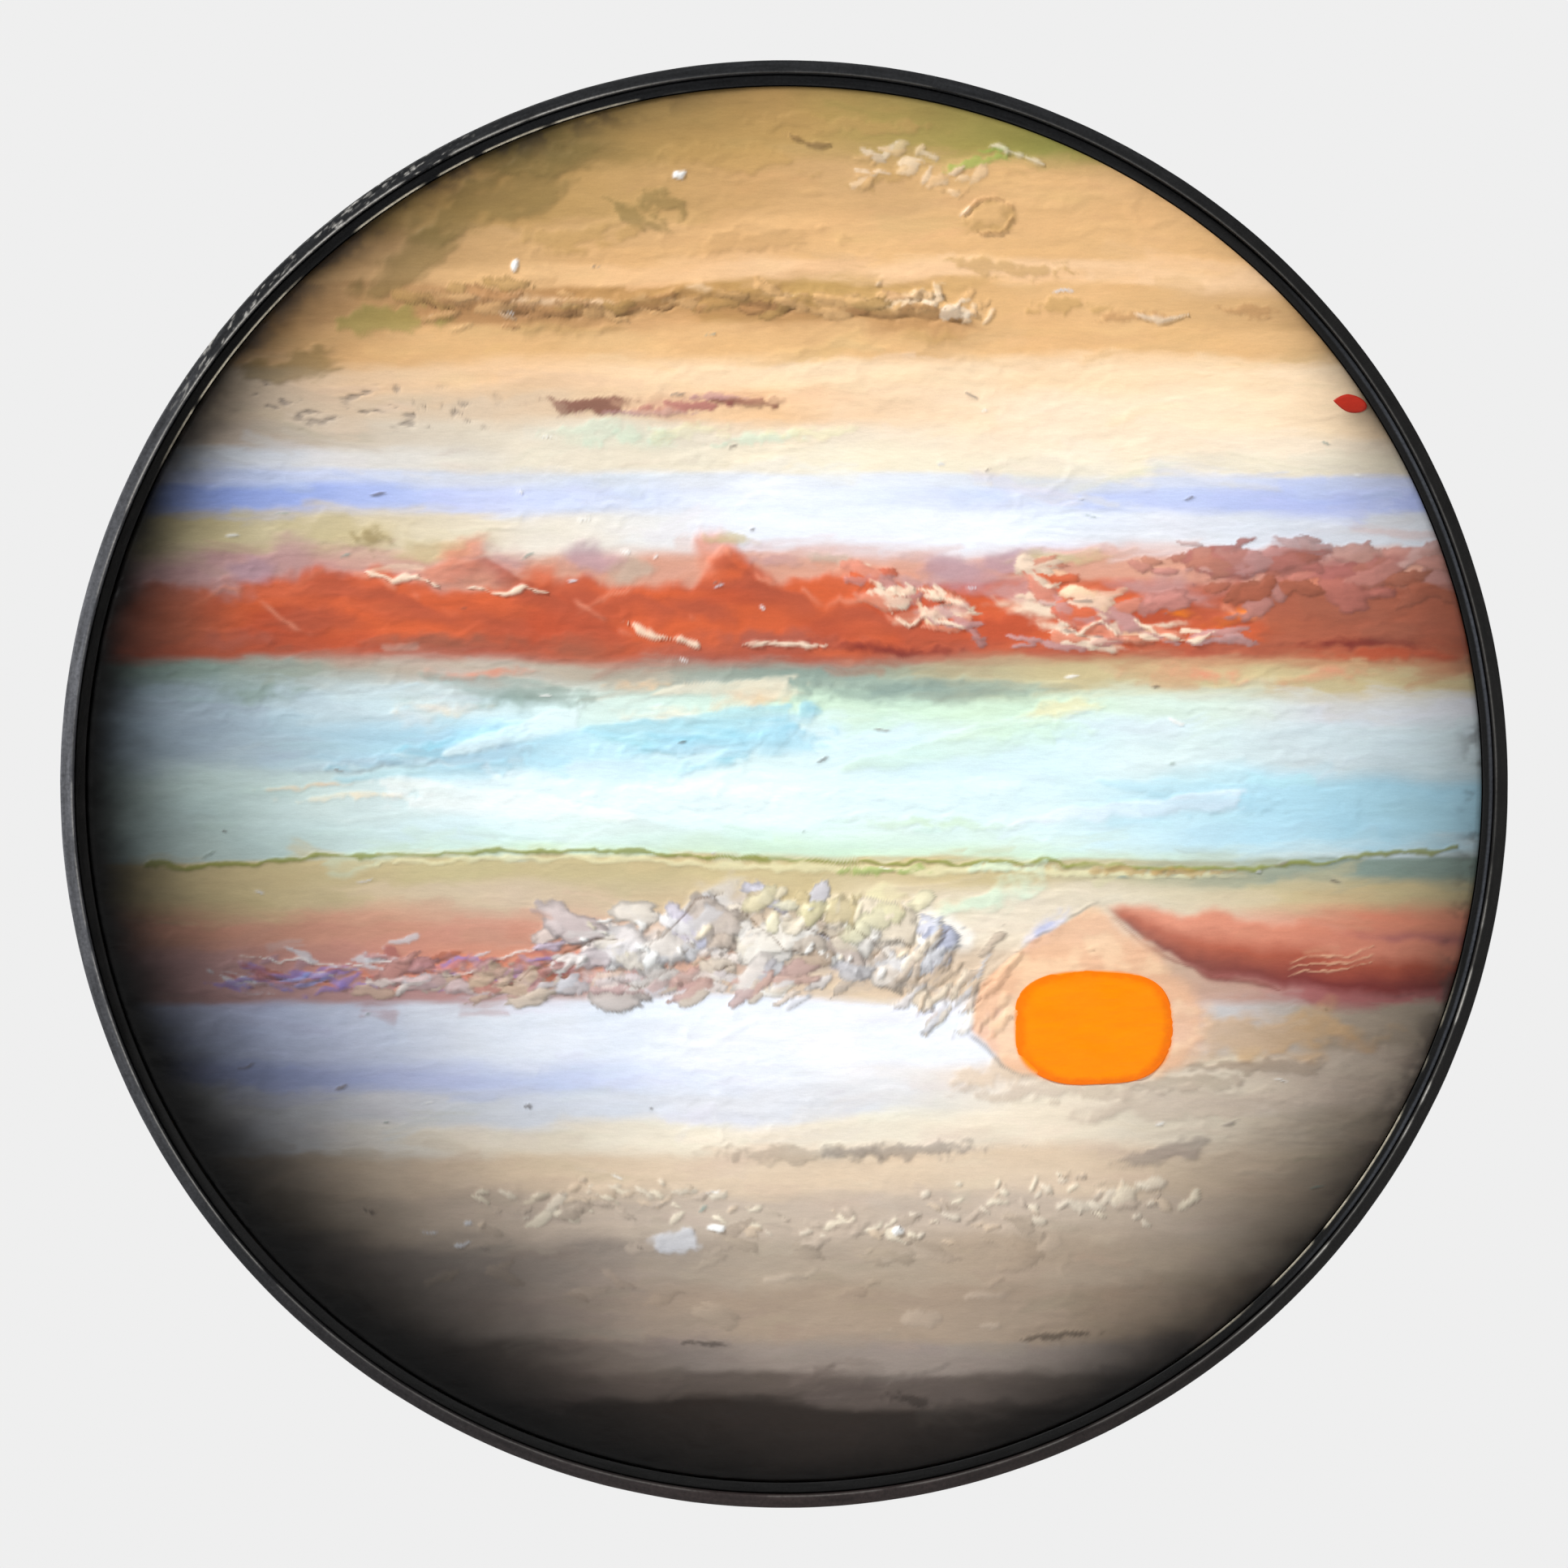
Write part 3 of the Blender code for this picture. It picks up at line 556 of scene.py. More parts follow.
ICE_WEDGES = (
    ("blue_grey", (-214, 5), (-104, 13), 9, 0.5),
    ("turquoise", (-196, 2), (-120, 6), 5, 0.5),
    ("turquoise", (-88, 21), (14, 25), 12, 0.7),
    ("sky", (-60, 14), (16, 18), 7, 0.7),
    ("teal_grey", (-160, 44), (-84, 36), 8, 0.6),
    ("pale_ice", (-150, 12), (-84, 28), 8, 0.8),
    ("cream", (-60, 40), (6, 42), 6, 0.7),
    ("teal_grey", (130, 42), (10, 40), 8, 0.6),
    ("mint", (20, 6), (120, 22), 10, 0.6),
    ("white", (-60, -16), (-170, -4), 9, 0.5),
    ("sky", (130, 2), (250, -12), 10, 0.5),
    ("white_blue", (90, -18), (200, -6), 6, 0.6),
)
BIG_KNOBS = (
    ("pale_grey", -32, -56, 42, 28, 20),
    ("light_taupe", -14, -52, 30, 20, -30),
    ("white", -64, -72, 44, 16, 8),
    ("white", 68, -64, 46, 20, -30),
    ("lavender", 28, -76, 22, 12, 10),
    ("cream", 10, -54, 34, 20, 40),
    ("yellow_cream", 36, -50, 34, 14, 25),
    ("mint", 88, -50, 50, 14, 18),
    ("periwinkle", 112, -62, 30, 10, 35),
)
KNOB_CREASES = (
    ((-120, -86), (-100, -76), (-84, -68), (-70, -66)),
    ((-76, -80), (-62, -86), (-48, -78), (-40, -70)),
    ((-44, -62), (-36, -74), (-28, -80), (-16, -74)),
    ((-20, -52), (-10, -62), (2, -72), (14, -70)),
    ((8, -60), (20, -66), (30, -60), (42, -70)),
    ((36, -74), (50, -66), (60, -72), (72, -62)),
    ((-60, -70), (-48, -62), (-38, -50), (-26, -46)),
)
SOFT_PATCHES = (
    ("pale_grey", -48, -197, 22, 12, 0),
    ("olive", -64, 246, 30, 12, -35),
    ("olive", -52, 250, 22, 10, -20),
    ("olive", -178, 105, 20, 11, -12),
    ("ochre", 88, 243, 23, 15, 0),
    ("peach_tan", 88, 243, 18, 10, 0),
    ("green", 84, 267, 28, 5, 12),
    ("green", 92, 273, 14, 3, 0),
    ("ochre", -90, 236, 60, 14, 4),
    ("olive", -130, 250, 70, 22, 24),
    ("olive", -158, 226, 60, 20, 30),
    ("olive_green", -170, 200, 60, 14, 8),
    ("olive", -100, 268, 60, 14, 14),
    ("ochre", 24, 284, 90, 9, 0),
    ("ochre", -20, 268, 60, 12, -4),
    ("ochre", 40, 262, 30, 10, 20),
    ("tan", -10, 232, 70, 12, 3),
    ("olive", -212, 178, 40, 16, 12),
    ("ochre", 96, 222, 60, 8, -2),
    ("light_taupe", 118, -132, 90, 10, 0),
    ("sand", 96, -122, 60, 12, 10),
    ("taupe", 168, -130, 60, 9, 0),
    ("taupe", 6, -160, 90, 9, 1),
    ("mauve_grey", 52, -159, 80, 8, 2),
    ("mauve_grey", 170, -158, 46, 13, 14),
    ("umber", -32, -241, 22, 3, -6),
    ("umber", 52, -266, 22, 6, -12),
    ("umber", 116, -236, 44, 3, 4),
    ("ochre", 120, 206, 40, 8, 0),
    ("ridge_brown", 198, 205, 26, 6, -6),
    ("ridge_brown", 150, 202, 34, 5, 3),
    ("tan", 208, -108, 90, 24, 0),
    ("light_taupe", 175, -137, 110, 18, 2),
    ("warm_grey", 205, -122, 70, 8, 0),
)
TOP_SWIRLS = (
    ("ridge_brown", ((77, 245), (82, 250), (92, 251), (99, 246))),
    ("ridge_brown", ((77, 243), (84, 236), (93, 236), (99, 243))),
    # a short dark line in the brown used for painted shade
    ("crevice_shade", ((2, 278), (10, 274), (20, 275))),
    ("pale_peach", ((150, 204), (160, 201), (174, 203))),
    ("cream", ((88, 276), (98, 271), (112, 268))),
)
WHITE_DOTS = (
    ("white", -44.6, 262, 6, 4, 0),
    ("white", -115, 223, 4, 4, 0),
    ("white", -29, -191.5, 8, 3.5, 0),
    ("white", 49.5, -193, 5, 4, 0),
)


def wedge(canvas, colour, tip, end, half_tall, strength, seed):
    """A flat knife stroke that widens from a pointed tip, crisp along its top and soft along its foot."""
    (x0, z0), (x1, z1) = tip, end
    length = math.hypot(x1 - x0, z1 - z0)
    dx, dz = canvas.bent_x - x0, canvas.bent_z - z0
    share = (dx * (x1 - x0) + dz * (z1 - z0)) / length**2
    across = (dz * abs(x1 - x0) - dx * (z1 - z0) * math.copysign(1, x1 - x0)) / length
    half = half_tall * np.sqrt(np.clip(share, 0, 1)) + 0.01
    streak = noise(canvas.x, canvas.z, 1.6, seed, 12.0)
    ragged = 1 + 0.12 * wobble(canvas.x, canvas.z, 6, seed + 1, 1.0, 3)
    body = smooth(0, 0.05, share) * smooth(ragged, ragged - 0.08, share)
    body = body * smooth(half, half - 1.5, across) * smooth(-half, -0.2 * half, across)
    canvas.glaze(colour, strength * body * (0.6 + 0.4 * streak))
    canvas.height += 0.25 * body


def red_belt(canvas):
    """The red belt, brown at both ends, with a rough top and a darker lower edge."""
    x, z = canvas.x, canvas.bent_z
    top_at = (-285, -255, -220, -178, -150, -128, -92, -64, -40, -24, 0, 32, 60, 88, 120, 160, 200, 240, 285)
    top = np.interp(x, top_at, (84, 86, 92, 95, 86, 84, 92, 88, 86, 104, 88, 94, 82, 70, 84, 82, 88, 92, 84))
    top = top + 2.6 * wobble(x, z * 0, 9, 241, 1.0, 4)
    red = smooth(-1, 5.0, top - z) * smooth(50, 62, z + 3 * wobble(x, z, 18, 244, 2.0, 2))
    hue = smooth(0.35, 0.65, layered_noise(x, z, 16, 242, 2.6, 3))[..., None]
    shade = linear("vermilion") * hue + linear("orange_red") * (1 - hue)
    brown = (smooth(155, 215, x) + smooth(-225, -262, x))[..., None]
    shade = shade * (1 - 0.85 * brown) + linear("brick_brown") * 0.85 * brown
    canvas.glaze(shade, 0.93 * red)
    canvas.height += 0.55 * red
    low = smooth(64, 52, z) * red
    canvas.glaze("dark_red", 0.45 * low * smooth(0.35, 0.6, layered_noise(x, z, 9, 243, 3.0, 3)))
    # painted shade and painted highlights on the belt's hills
    dabs(canvas, BELT_SHADE_AND_HIGHLIGHT, 0.85, 0.3, 0.9, 0.2, 440)
    dabs(canvas, BELT_TOPS, 0.75, 0.3, 0.75, 0.4, 260)
    for number, points in enumerate(BELT_HILLS):
        belt_hill(canvas, points, 430 + number)
    belt_ripples(canvas)
    for number, points in enumerate(BELT_RIPPLES):
        wave_line(canvas, "pale_peach", points, 1.2, 0.8, 0.9, 1.3, 310 + number)


def belt_hill(canvas, crest_points, seed):
    """Painted shade on the side of a hill in the red belt, under a broken crest line with a painted
    highlight.
    """
    x, z = canvas.x, canvas.bent_z
    points = np.array(crest_points, float)
    crest = np.interp(x, points[:, 0], points[:, 1]) + 1.2 * wobble(x, z * 0, 7, seed, 1.0, 3)
    first, last = points[0, 0], points[-1, 0]
    ends = smooth(first, first + 0.45 * (last - first), x) * smooth(last, last - 0.25 * (last - first), x)
    slope_shade = smooth(0.0, 2.5, crest - z) * smooth(19, 3, crest - z)
    slope_shade = slope_shade * smooth(0.2, 0.55, noise(x, z, 12, seed + 20, 1.6))
    canvas.glaze("brick", 0.8 * slope_shade * ends)
    # a salmon line along the crest: painted highlight
    edge = np.exp(-((z - crest - 0.6) ** 2) / 1.4) * smooth(0.35, 0.6, noise(x, z * 0, 6, seed + 40))
    canvas.glaze("salmon", 0.7 * edge * ends**2)
    canvas.height += ends * (0.3 * slope_shade + 0.5 * edge)


def belt_ripples(canvas):
    """Marbled ripples of salmon, cream and rose at the middle and right of the belt."""
    marbled = ("pale_peach", "salmon", "cream", "orange_red", "dusty_rose", "light_peach")
    left = ((32, 80), lambda share: 88 - 20 * share)
    heap(canvas, 44, 26, marbled, left, 4.0, (9, 24), (0.18, 0.4), (-60, 10), 0.8, own=0.75, crease=0.3)
    right = ((104, 150), lambda share: 86 - 20 * share)
    heap(canvas, 45, 34, marbled, right, 6.0, (9, 26), (0.2, 0.45), (-60, 30), 0.8, own=0.65, crease=0.3)
    browns = ((150, 285), lambda share: 94 - 6 * share)
    rosy = ("brick_brown", "rose", "dusty_rose", "brick_brown")
    heap(canvas, 46, 46, rosy, browns, 7.0, (10, 34), (0.25, 0.5), (-20, 30), 0.7, own=0.5, crease=0.3)
    foot = ((60, 200), lambda share: 66 - 5 * math.sin(3 * share))
    pale = ("pale_peach", "salmon", "dusty_rose")
    heap(canvas, 47, 22, pale, foot, 2.0, (10, 26), (0.12, 0.2), (-20, 10), 0.6, crease=0.2)


def green_line(canvas):
    """The thin olive line right across, just below the ice-blue band."""
    points = ((-275, -35), (-230, -35), (-180, -33), (-100, -29), (-40, -30), (20, -33), (90, -35))
    points += ((160, -36), (200, -35), (240, -32), (290, -29))
    wave_line(canvas, "moss_line", points, 1.3, 0.85, 0.5, 0.5, 400, taper=False)
    lower = tuple((x, z - 3.2) for x, z in points[2:9])
    wave_line(canvas, "yellow_cream", lower, 1.8, 0.6, 0.4, 0.6, 401)
    for colour, x in (("green", 40), ("mint", 96), ("ochre", 150), ("ochre", 176)):
        dab(canvas, colour, x, -37, 44, 4, 2, 0.6, 0.6, 0.5, 0.3, 405)


def knobbly_paint(canvas):
    """The heap of knife-lifted lumps in the middle: white, grey, ochre and lavender, with creases between
    them painted dark as shade.
    """
    dabs(canvas, BIG_KNOBS, 0.7, 0.4, 0.7, 0.3, 680)
    whites = ("white", "white", "pale_grey", "beige", "light_taupe", "lavender")
    arch = ((-104, 70), lambda share: -76 + 13 * math.sin(math.pi * share))
    heap(canvas, 36, 60, whites, arch, 9.0, (6, 15), (0.35, 0.7), (-70, 70), 0.8, own=0.6, crease=0.62)
    heap(canvas, 33, 40, whites, arch, 8.0, (13, 30), (0.35, 0.7), (-50, 40), 1.1, own=0.6, crease=0.62)
    heap(canvas, 40, 26, ("white", "cream", "white"), arch, 8.0, (3, 8), (0.3, 0.6), (-60, 60), 1.4, own=0.9)
    worms = ((52, 98), lambda share: -78 - 14 * share)
    pale = ("beige", "light_taupe", "pale_grey", "sand")
    heap(canvas, 37, 44, pale, worms, 9.0, (10, 24), (0.14, 0.26), (25, 65), 1.0, own=0.7)
    top = ((-20, 60), lambda share: -50 - 6 * share)
    yellows = ("yellow_cream", "cream", "khaki")
    heap(canvas, 38, 26, yellows, top, 4.5, (6, 16), (0.4, 0.8), (0, 80), 0.8, own=0.6)
    foam = ((-176, 30), lambda share: -86 + 3 * share)
    pinks = ("beige", "dusty_rose", "pale_grey", "sand", "white", "dusty_rose")
    heap(canvas, 39, 90, pinks, foam, 3.5, (7, 24), (0.18, 0.4), (-10, 45), 0.7, own=0.6)
    # dark lines along the grooves between the lumps: painted shade
    for number, points in enumerate(KNOB_CREASES):
        wave_line(canvas, "crevice_shade", points, 0.7, 0.55, -0.5, 0.8, 890 + number)


def rosy_strokes(canvas, seed):
    """Quick rosy and violet strokes at the left, over the white band's top edge."""
    random = np.random.default_rng(seed)
    colours = ("dusty_rose", "rose", "mauve", "salmon", "pale_grey", "brick_brown", "violet")
    for number in range(120):
        x = random.uniform(-238, -60)
        z = random.normal(-80 + 0.012 * (x + 150), 4.2)
        colour = colours[random.integers(len(colours))]
        width, tall, turn = random.uniform(8, 26), random.uniform(1.6, 4), random.uniform(-25, 25)
        dab(canvas, colour, x, z, width, tall, turn, 0.7, 0.5, 0.4, 0.35, 720 + number)
    cold = (("blue", -206, -86), ("violet", -198, -89), ("blue", -212, -83), ("violet", -190, -85))
    for colour, x, z in cold:
        dab(canvas, colour, x, z, 14, 3, 20, 0.7, 0.5, 0.4, 0.4, 860)
    wave_line(canvas, "white", ((-235, -73), (-200, -77), (-160, -76)), 0.6, 0.7, 0.5, 0.6, 870)
    wave_line(canvas, "white", ((-150, -84), (-120, -74), (-84, -66)), 0.6, 0.7, 0.5, 0.6, 871)


def maroon_belt(canvas):
    """The right-hand belt: salmon over maroon, falling away from the point above the spot."""
    x, z = canvas.x, canvas.bent_z
    upper = np.interp(x, (134, 160, 200, 250, 290), (-50, -50, -55, -62, -66))
    upper = upper + 1.8 * wobble(x, z * 0, 12, 881, 1.0, 3)
    lower = np.interp(x, (134, 160, 185, 215, 250, 290), (-52, -72, -86, -92, -95, -92))
    lower = lower + 2.0 * wobble(x, z * 0, 12, 882, 1.0, 3)
    inside = smooth(0, 5, upper - z) * smooth(0, 5, z - lower) * smooth(134, 146, x)
    depth = np.clip((upper - z) / np.maximum(upper - lower, 1), 0, 1)
    stops = np.array([linear(name) for name in ("salmon", "salmon", "brick", "deep_maroon", "rose")])
    mixed = np.stack([np.interp(depth, (0, 0.25, 0.5, 0.8, 1.0), stops[:, k]) for k in range(3)], axis=-1)
    canvas.glaze(mixed, 0.88 * inside)
    canvas.height += 0.4 * inside
    crease = ((140, -56), (165, -74), (190, -84), (214, -90))
    wave_line(canvas, "deep_maroon", crease, 1.6, 0.5, 0.3, 0.5, 883)
    for z_line in (-72, -75, -78):
        points = ((216, z_line - 6), (234, z_line - 2), (254, z_line + 3))
        wave_line(canvas, "halo_peach", points, 0.5, 0.7, 0.4, 0.6, 884)


SPOT_X, SPOT_Z = 133.0, -104.6
SPOT_SQUARENESS = 2.8
SPOT_HALF_WIDTH, SPOT_HALF_TALL = 33.9, 24.4


def spot_reach(x, z):
    """0 at the orange spot's centre and 1 on its slightly squared outline."""
    dx, dz = np.abs(x - SPOT_X) / SPOT_HALF_WIDTH, np.abs(z - SPOT_Z) / SPOT_HALF_TALL
    return (dx**SPOT_SQUARENESS + dz**SPOT_SQUARENESS) ** (1 / SPOT_SQUARENESS)


def spot_halo(canvas):
    """A pale peach teardrop, dark-edged at its left, round the orange spot."""
    x, z = canvas.x, canvas.z
    peak, foot = -51.0, -129.0
    height = np.clip((z - foot) / (peak - foot), 0, 1)
    left = np.interp(height, (0, 0.1, 0.3, 0.55, 0.8, 1.0), (112, 94, 79, 82, 106, 134))
    right = np.interp(height, (0, 0.12, 0.25, 0.4, 0.55, 0.8, 1.0), (164, 182, 189, 189, 180, 158, 139))
    wander = 1.5 * wobble(x, z, 8, 901, 1.0, 3)
    inside = smooth(0, 3, x - left + wander) * smooth(0, 12, right - x + 2 * wander)
    inside = inside * smooth(foot, foot + 7, z) * smooth(peak + 2, peak - 5, z)
    canvas.glaze("halo_peach", 0.85 * inside)
    canvas.glaze("light_peach", 0.45 * inside * smooth(0.4, 0.7, layered_noise(x, z, 9, 902, 1.0, 3)))
    edge = np.exp(-((x - left + wander) ** 2) / 1.6)
    edge = edge * smooth(foot, foot + 8, z) * smooth(peak + 2, peak - 2, z)
    canvas.glaze("brown_grey", 0.55 * edge * smooth(0.25, 0.5, noise(x, z, 9, 903)))
    canvas.height += 0.5 * inside + 0.5 * edge
    canvas.glaze("spot_orange", smooth(1.02, 0.97, spot_reach(x, z)))


def rough_flecks(canvas, seed):
    """Cream flecks of dry, dragged paint in the lower taupe band, and grey scratches at the upper left."""
    flecks = ((-130, 175), lambda share: -184 + 6 * math.sin(9 * share))
    creams = ("cream", "beige", "sand", "light_taupe")
    heap(canvas, seed, 140, creams, flecks, 5.0, (3, 12), (0.2, 0.45), (-40, 50), 0.8, 0.6, 0.2)
    lower = ((-150, 160), lambda share: -200)
    browns = ("taupe", "warm_grey", "light_taupe")
    heap(canvas, seed + 1, 50, browns, lower, 14.0, (5, 24), (0.2, 0.4), (-30, 30), 0.3, 0.3, 0.12)
    x, z = canvas.bent_x, canvas.bent_z
    upper_rows = smooth(160, 166, z) * smooth(174, 168, z)
    lower_rows = smooth(150, 156, z) * smooth(170, 164, z)
    scratches = np.maximum(upper_rows, lower_rows) * smooth(-240, -220, x) * smooth(-110, -140, x)
    mark = smooth(0.62, 0.72, layered_noise(x, z, 3.0, seed + 90, 2.2, 4)) * scratches
    canvas.glaze("mauve_grey", 0.6 * mark)
    canvas.height -= 0.5 * mark


def stray_ticks(canvas, seed):
    """Short dark or white ticks left by the knife's corner, all over the picture."""
    random = np.random.default_rng(seed)
    for number in range(90):
        x, z = random.uniform(-250, 250), random.uniform(-200, 230)
        colour = ("white", "white", "pale_grey", "mauve_grey", "teal_grey", "brown_grey")[random.integers(6)]
        width, tall, turn = random.uniform(3, 9), random.uniform(0.8, 1.6), random.normal(0, 12)
        dab(canvas, colour, x, z, width, tall, turn, 0.7, 0.4, 0.4, 0.5, number)


def body_of_paint(canvas):
    """The unevenness that every part of the paint has: slow swells, brush grain and a few sharper creases."""
    x, z = canvas.bent_x, canvas.bent_z
    canvas.height += 0.35 * layered_noise(x, z, 26, 11, 2.2, 3)
    canvas.height += 0.14 * layered_noise(x, z, 3.4, 12, 5.0, 3)
    crease = 1 - np.abs(layered_noise(x, z, 11, 13, 2.6, 4) - 0.5) * 9
    canvas.height += 0.3 * np.clip(crease, 0, 1) * smooth(0.5, 0.7, noise(x, z, 40, 14, 1.8))
    shade = 1 + 0.045 * wobble(x, z, 4, 15, 6.0, 3) + 0.04 * wobble(x, z, 22, 16, 2.2, 3)
    warm = 0.025 * wobble(x, z, 30, 18, 2.0, 3)
    canvas.colour *= np.stack([shade * (1 + warm), shade, shade * (1 - warm)], axis=-1)


# The limb's darkness. Each row: an angle, anticlockwise from the right, how much light is left at the edge of
# the globe there, and how many millimetres it takes to recover
LIMB = (
    (-180, 0.00, 31),
    (-165, 0.00, 46),
    (-145, 0.00, 60),
    (-120, 0.00, 52),
    (-105, 0.10, 26),
    (-88, 0.30, 12),
    (-75, 0.30, 14),
    (-60, 0.16, 26),
    (-42, 0.20, 34),
    (-22, 0.46, 38),
    (0, 0.58, 44),
    (15, 0.68, 24),
    (25, 0.74, 24),
    # the dip at 33 degrees is the painted shadow of the red touch of paint at the right edge
    (33, 0.35, 9),
    (45, 0.90, 8),
    (95, 0.80, 9),
    (120, 0.45, 13),
    (147, 0.12, 19),
    (165, 0.06, 26),
    (180, 0.00, 31),
)
DISPLAY_GAMMA = 2.2


def shade_globe(canvas):
    """The dark limb: broad at the lower left, gentle at the right, almost nothing at the top."""
    x, z = canvas.x, canvas.z
    angle = np.degrees(np.arctan2(z, x))
    at, edge_light, recovery = np.array(LIMB).T
    depth = PANEL_MM - np.hypot(x, z) + 2.2 * wobble(x, z, 11, 961, 1.5, 4)
    share = 1 - np.exp(-np.maximum(depth, 0) / np.interp(angle, at, recovery))
    share = share ** np.interp(np.abs(angle), (110, 150), (1.0, 1.25))
    left = np.interp(angle, at, edge_light)
    light = (left + (1 - left) * share) ** DISPLAY_GAMMA
    canvas.colour *= light[..., None]


def dark_edge_blotches(canvas):
    """Dark umber blotches within 13 mm of the picture's edge, at the upper left and from the right to the
    lower right.
    """
    x, z = canvas.x, canvas.z
    angle, depth = np.degrees(np.arctan2(z, x)), PANEL_MM - np.hypot(x, z)
    blots = smooth(0.45, 0.62, layered_noise(x, z, 8, 971, 1.3, 4))
    upper = smooth(92, 106, angle) * smooth(158, 146, angle)
    lower = smooth(-62, -50, angle) * smooth(16, 2, angle)
    canvas.glaze("umber", 0.55 * smooth(13, 1, depth) * blots * np.maximum(upper, lower))


def cream_swirls(canvas):
    """Dragged cream lumps and thin raised outlines near the top."""
    arc = ((32, 84), lambda share: 262 + 7 * math.sin(5 * share))
    creams = ("pale_peach", "peach_tan", "light_peach")
    heap(canvas, 48, 34, creams, arc, 5.0, (4, 12), (0.25, 0.5), (-30, 50), 0.6, own=0.45, crease=0.2)
    crumbs = ((40, 88), lambda share: 209 - 6 * share)
    heap(canvas, 49, 34, creams, crumbs, 3.5, (3, 9), (0.4, 0.8), (-60, 60), 0.8, own=0.7, crease=0.3)
    crust = ((-165, 60), lambda share: 207)
    browns = ("ridge_brown", "peach_tan", "tan", "ochre")
    heap(canvas, 50, 70, browns, crust, 4.0, (6, 22), (0.15, 0.35), (-20, 20), 0.7, own=0.6, crease=0.4)
    for number, (colour, points) in enumerate(TOP_SWIRLS):
        wave_line(canvas, colour, points, 1.5, 0.55, 0.9, 0.9, 940 + number)


def paint_picture():
    canvas = Canvas()
    paint_bands(canvas)
    upper_ridge(canvas)
    dabs(canvas, RIDGE_LUMPS, 0.8, 0.8, 0.5, 0.9, 210)
    dabs(canvas, MAROON_STREAK, 0.85, 0.5, 0.4, 0.4, 221)
    dabs(canvas, PALE_UNDER_STREAK, 0.55, 0.6, 0.6, 0.2, 230)
    dabs(canvas, UNDER_BELT, 0.8, 0.4, 1.0, 0.2, 330)
    dabs(canvas, ICE_STREAKS, 0.85, 0.45, 0.9, 0.3, 350)
    knife_strokes(canvas, 1900, (14, 60), (3, 11), 31)
    for number, (colour, tip, end, half_tall, strength) in enumerate(ICE_WEDGES):
        wedge(canvas, colour, tip, end, half_tall, strength, 370 + 2 * number)
    red_belt(canvas)
    green_line(canvas)
    maroon_belt(canvas)
    rosy_strokes(canvas, 32)
    knobbly_paint(canvas)
    knife_strokes(canvas, 500, (8, 30), (2.5, 7), 34)
    rough_flecks(canvas, 980)
    stray_ticks(canvas, 990)
    dabs(canvas, SOFT_PATCHES, 0.6, 0.5, 0.5, 0.4, 920)
    cream_swirls(canvas)
    spot_halo(canvas)
    dabs(canvas, WHITE_DOTS, 1.0, 0.3, 0.3, 1.1, 960)
    body_of_paint(canvas)
    shade_globe(canvas)
    dark_edge_blotches(canvas)
    return canvas


# ---------------------------------------------------------------- meshes

COLOUR_LAYER = "paint_colour"


def build_mesh(name, points, faces, colours, body="picture"):
    """A smooth-shaded object from points, four-cornered faces and point colours, riding on a body."""
    mesh = bpy.data.meshes.new(name)
    mesh.vertices.add(len(points))
    mesh.vertices.foreach_set("co", np.asarray(points, np.float32).ravel())
    mesh.loops.add(faces.size)
    mesh.loops.foreach_set("vertex_index", faces.astype(np.int32).ravel())
    mesh.polygons.add(len(faces))
    mesh.polygons.foreach_set("loop_start", np.arange(0, faces.size, faces.shape[1], dtype=np.int32))
    mesh.update(calc_edges=True)
    mesh.validate()
    mesh.shade_smooth()
    layer = mesh.attributes.new(COLOUR_LAYER, "FLOAT_COLOR", "POINT")
    opaque = np.column_stack([colours, np.ones(len(points))])
    layer.data.foreach_set("color", opaque.astype(np.float32).ravel())
    piece = bpy.data.objects.new(name, mesh)
    bpy.context.scene.collection.objects.link(piece)
    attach(piece, body)
    return piece


def grid_faces(rows, columns, wrap_rows=False, wrap_columns=False):
    """Four-cornered faces between the points of a grid that are numbered row by row."""
    numbers = np.arange(rows * columns).reshape(rows, columns)
    if wrap_rows:
        numbers = np.vstack([numbers, numbers[:1]])
    if wrap_columns:
        numbers = np.hstack([numbers, numbers[:, :1]])
    corners = (numbers[:-1, :-1], numbers[:-1, 1:], numbers[1:, 1:], numbers[1:, :-1])
    return np.stack([corner.ravel() for corner in corners], axis=1)


def disc_grid(count):
    """A square grid of points spread evenly over the unit disc, and its edge points in order."""
    side = np.linspace(-1, 1, count)
    a, b = np.meshgrid(side, side)
    wide = np.abs(a) > np.abs(b)
    safe_a, safe_b = np.where(wide, a, 1.0), np.where(b == 0, 1.0, b)
    angle = np.where(wide, math.pi / 4 * b / safe_a, math.pi / 2 - math.pi / 4 * a / safe_b)
    radius = np.where(wide, a, b)
    numbers = np.arange(count * count).reshape(count, count)
    rim = np.concatenate([numbers[0, :-1], numbers[:-1, -1], numbers[-1, :0:-1], numbers[:0:-1, 0]])
    return (radius * np.cos(angle)).ravel(), (radius * np.sin(angle)).ravel(), rim


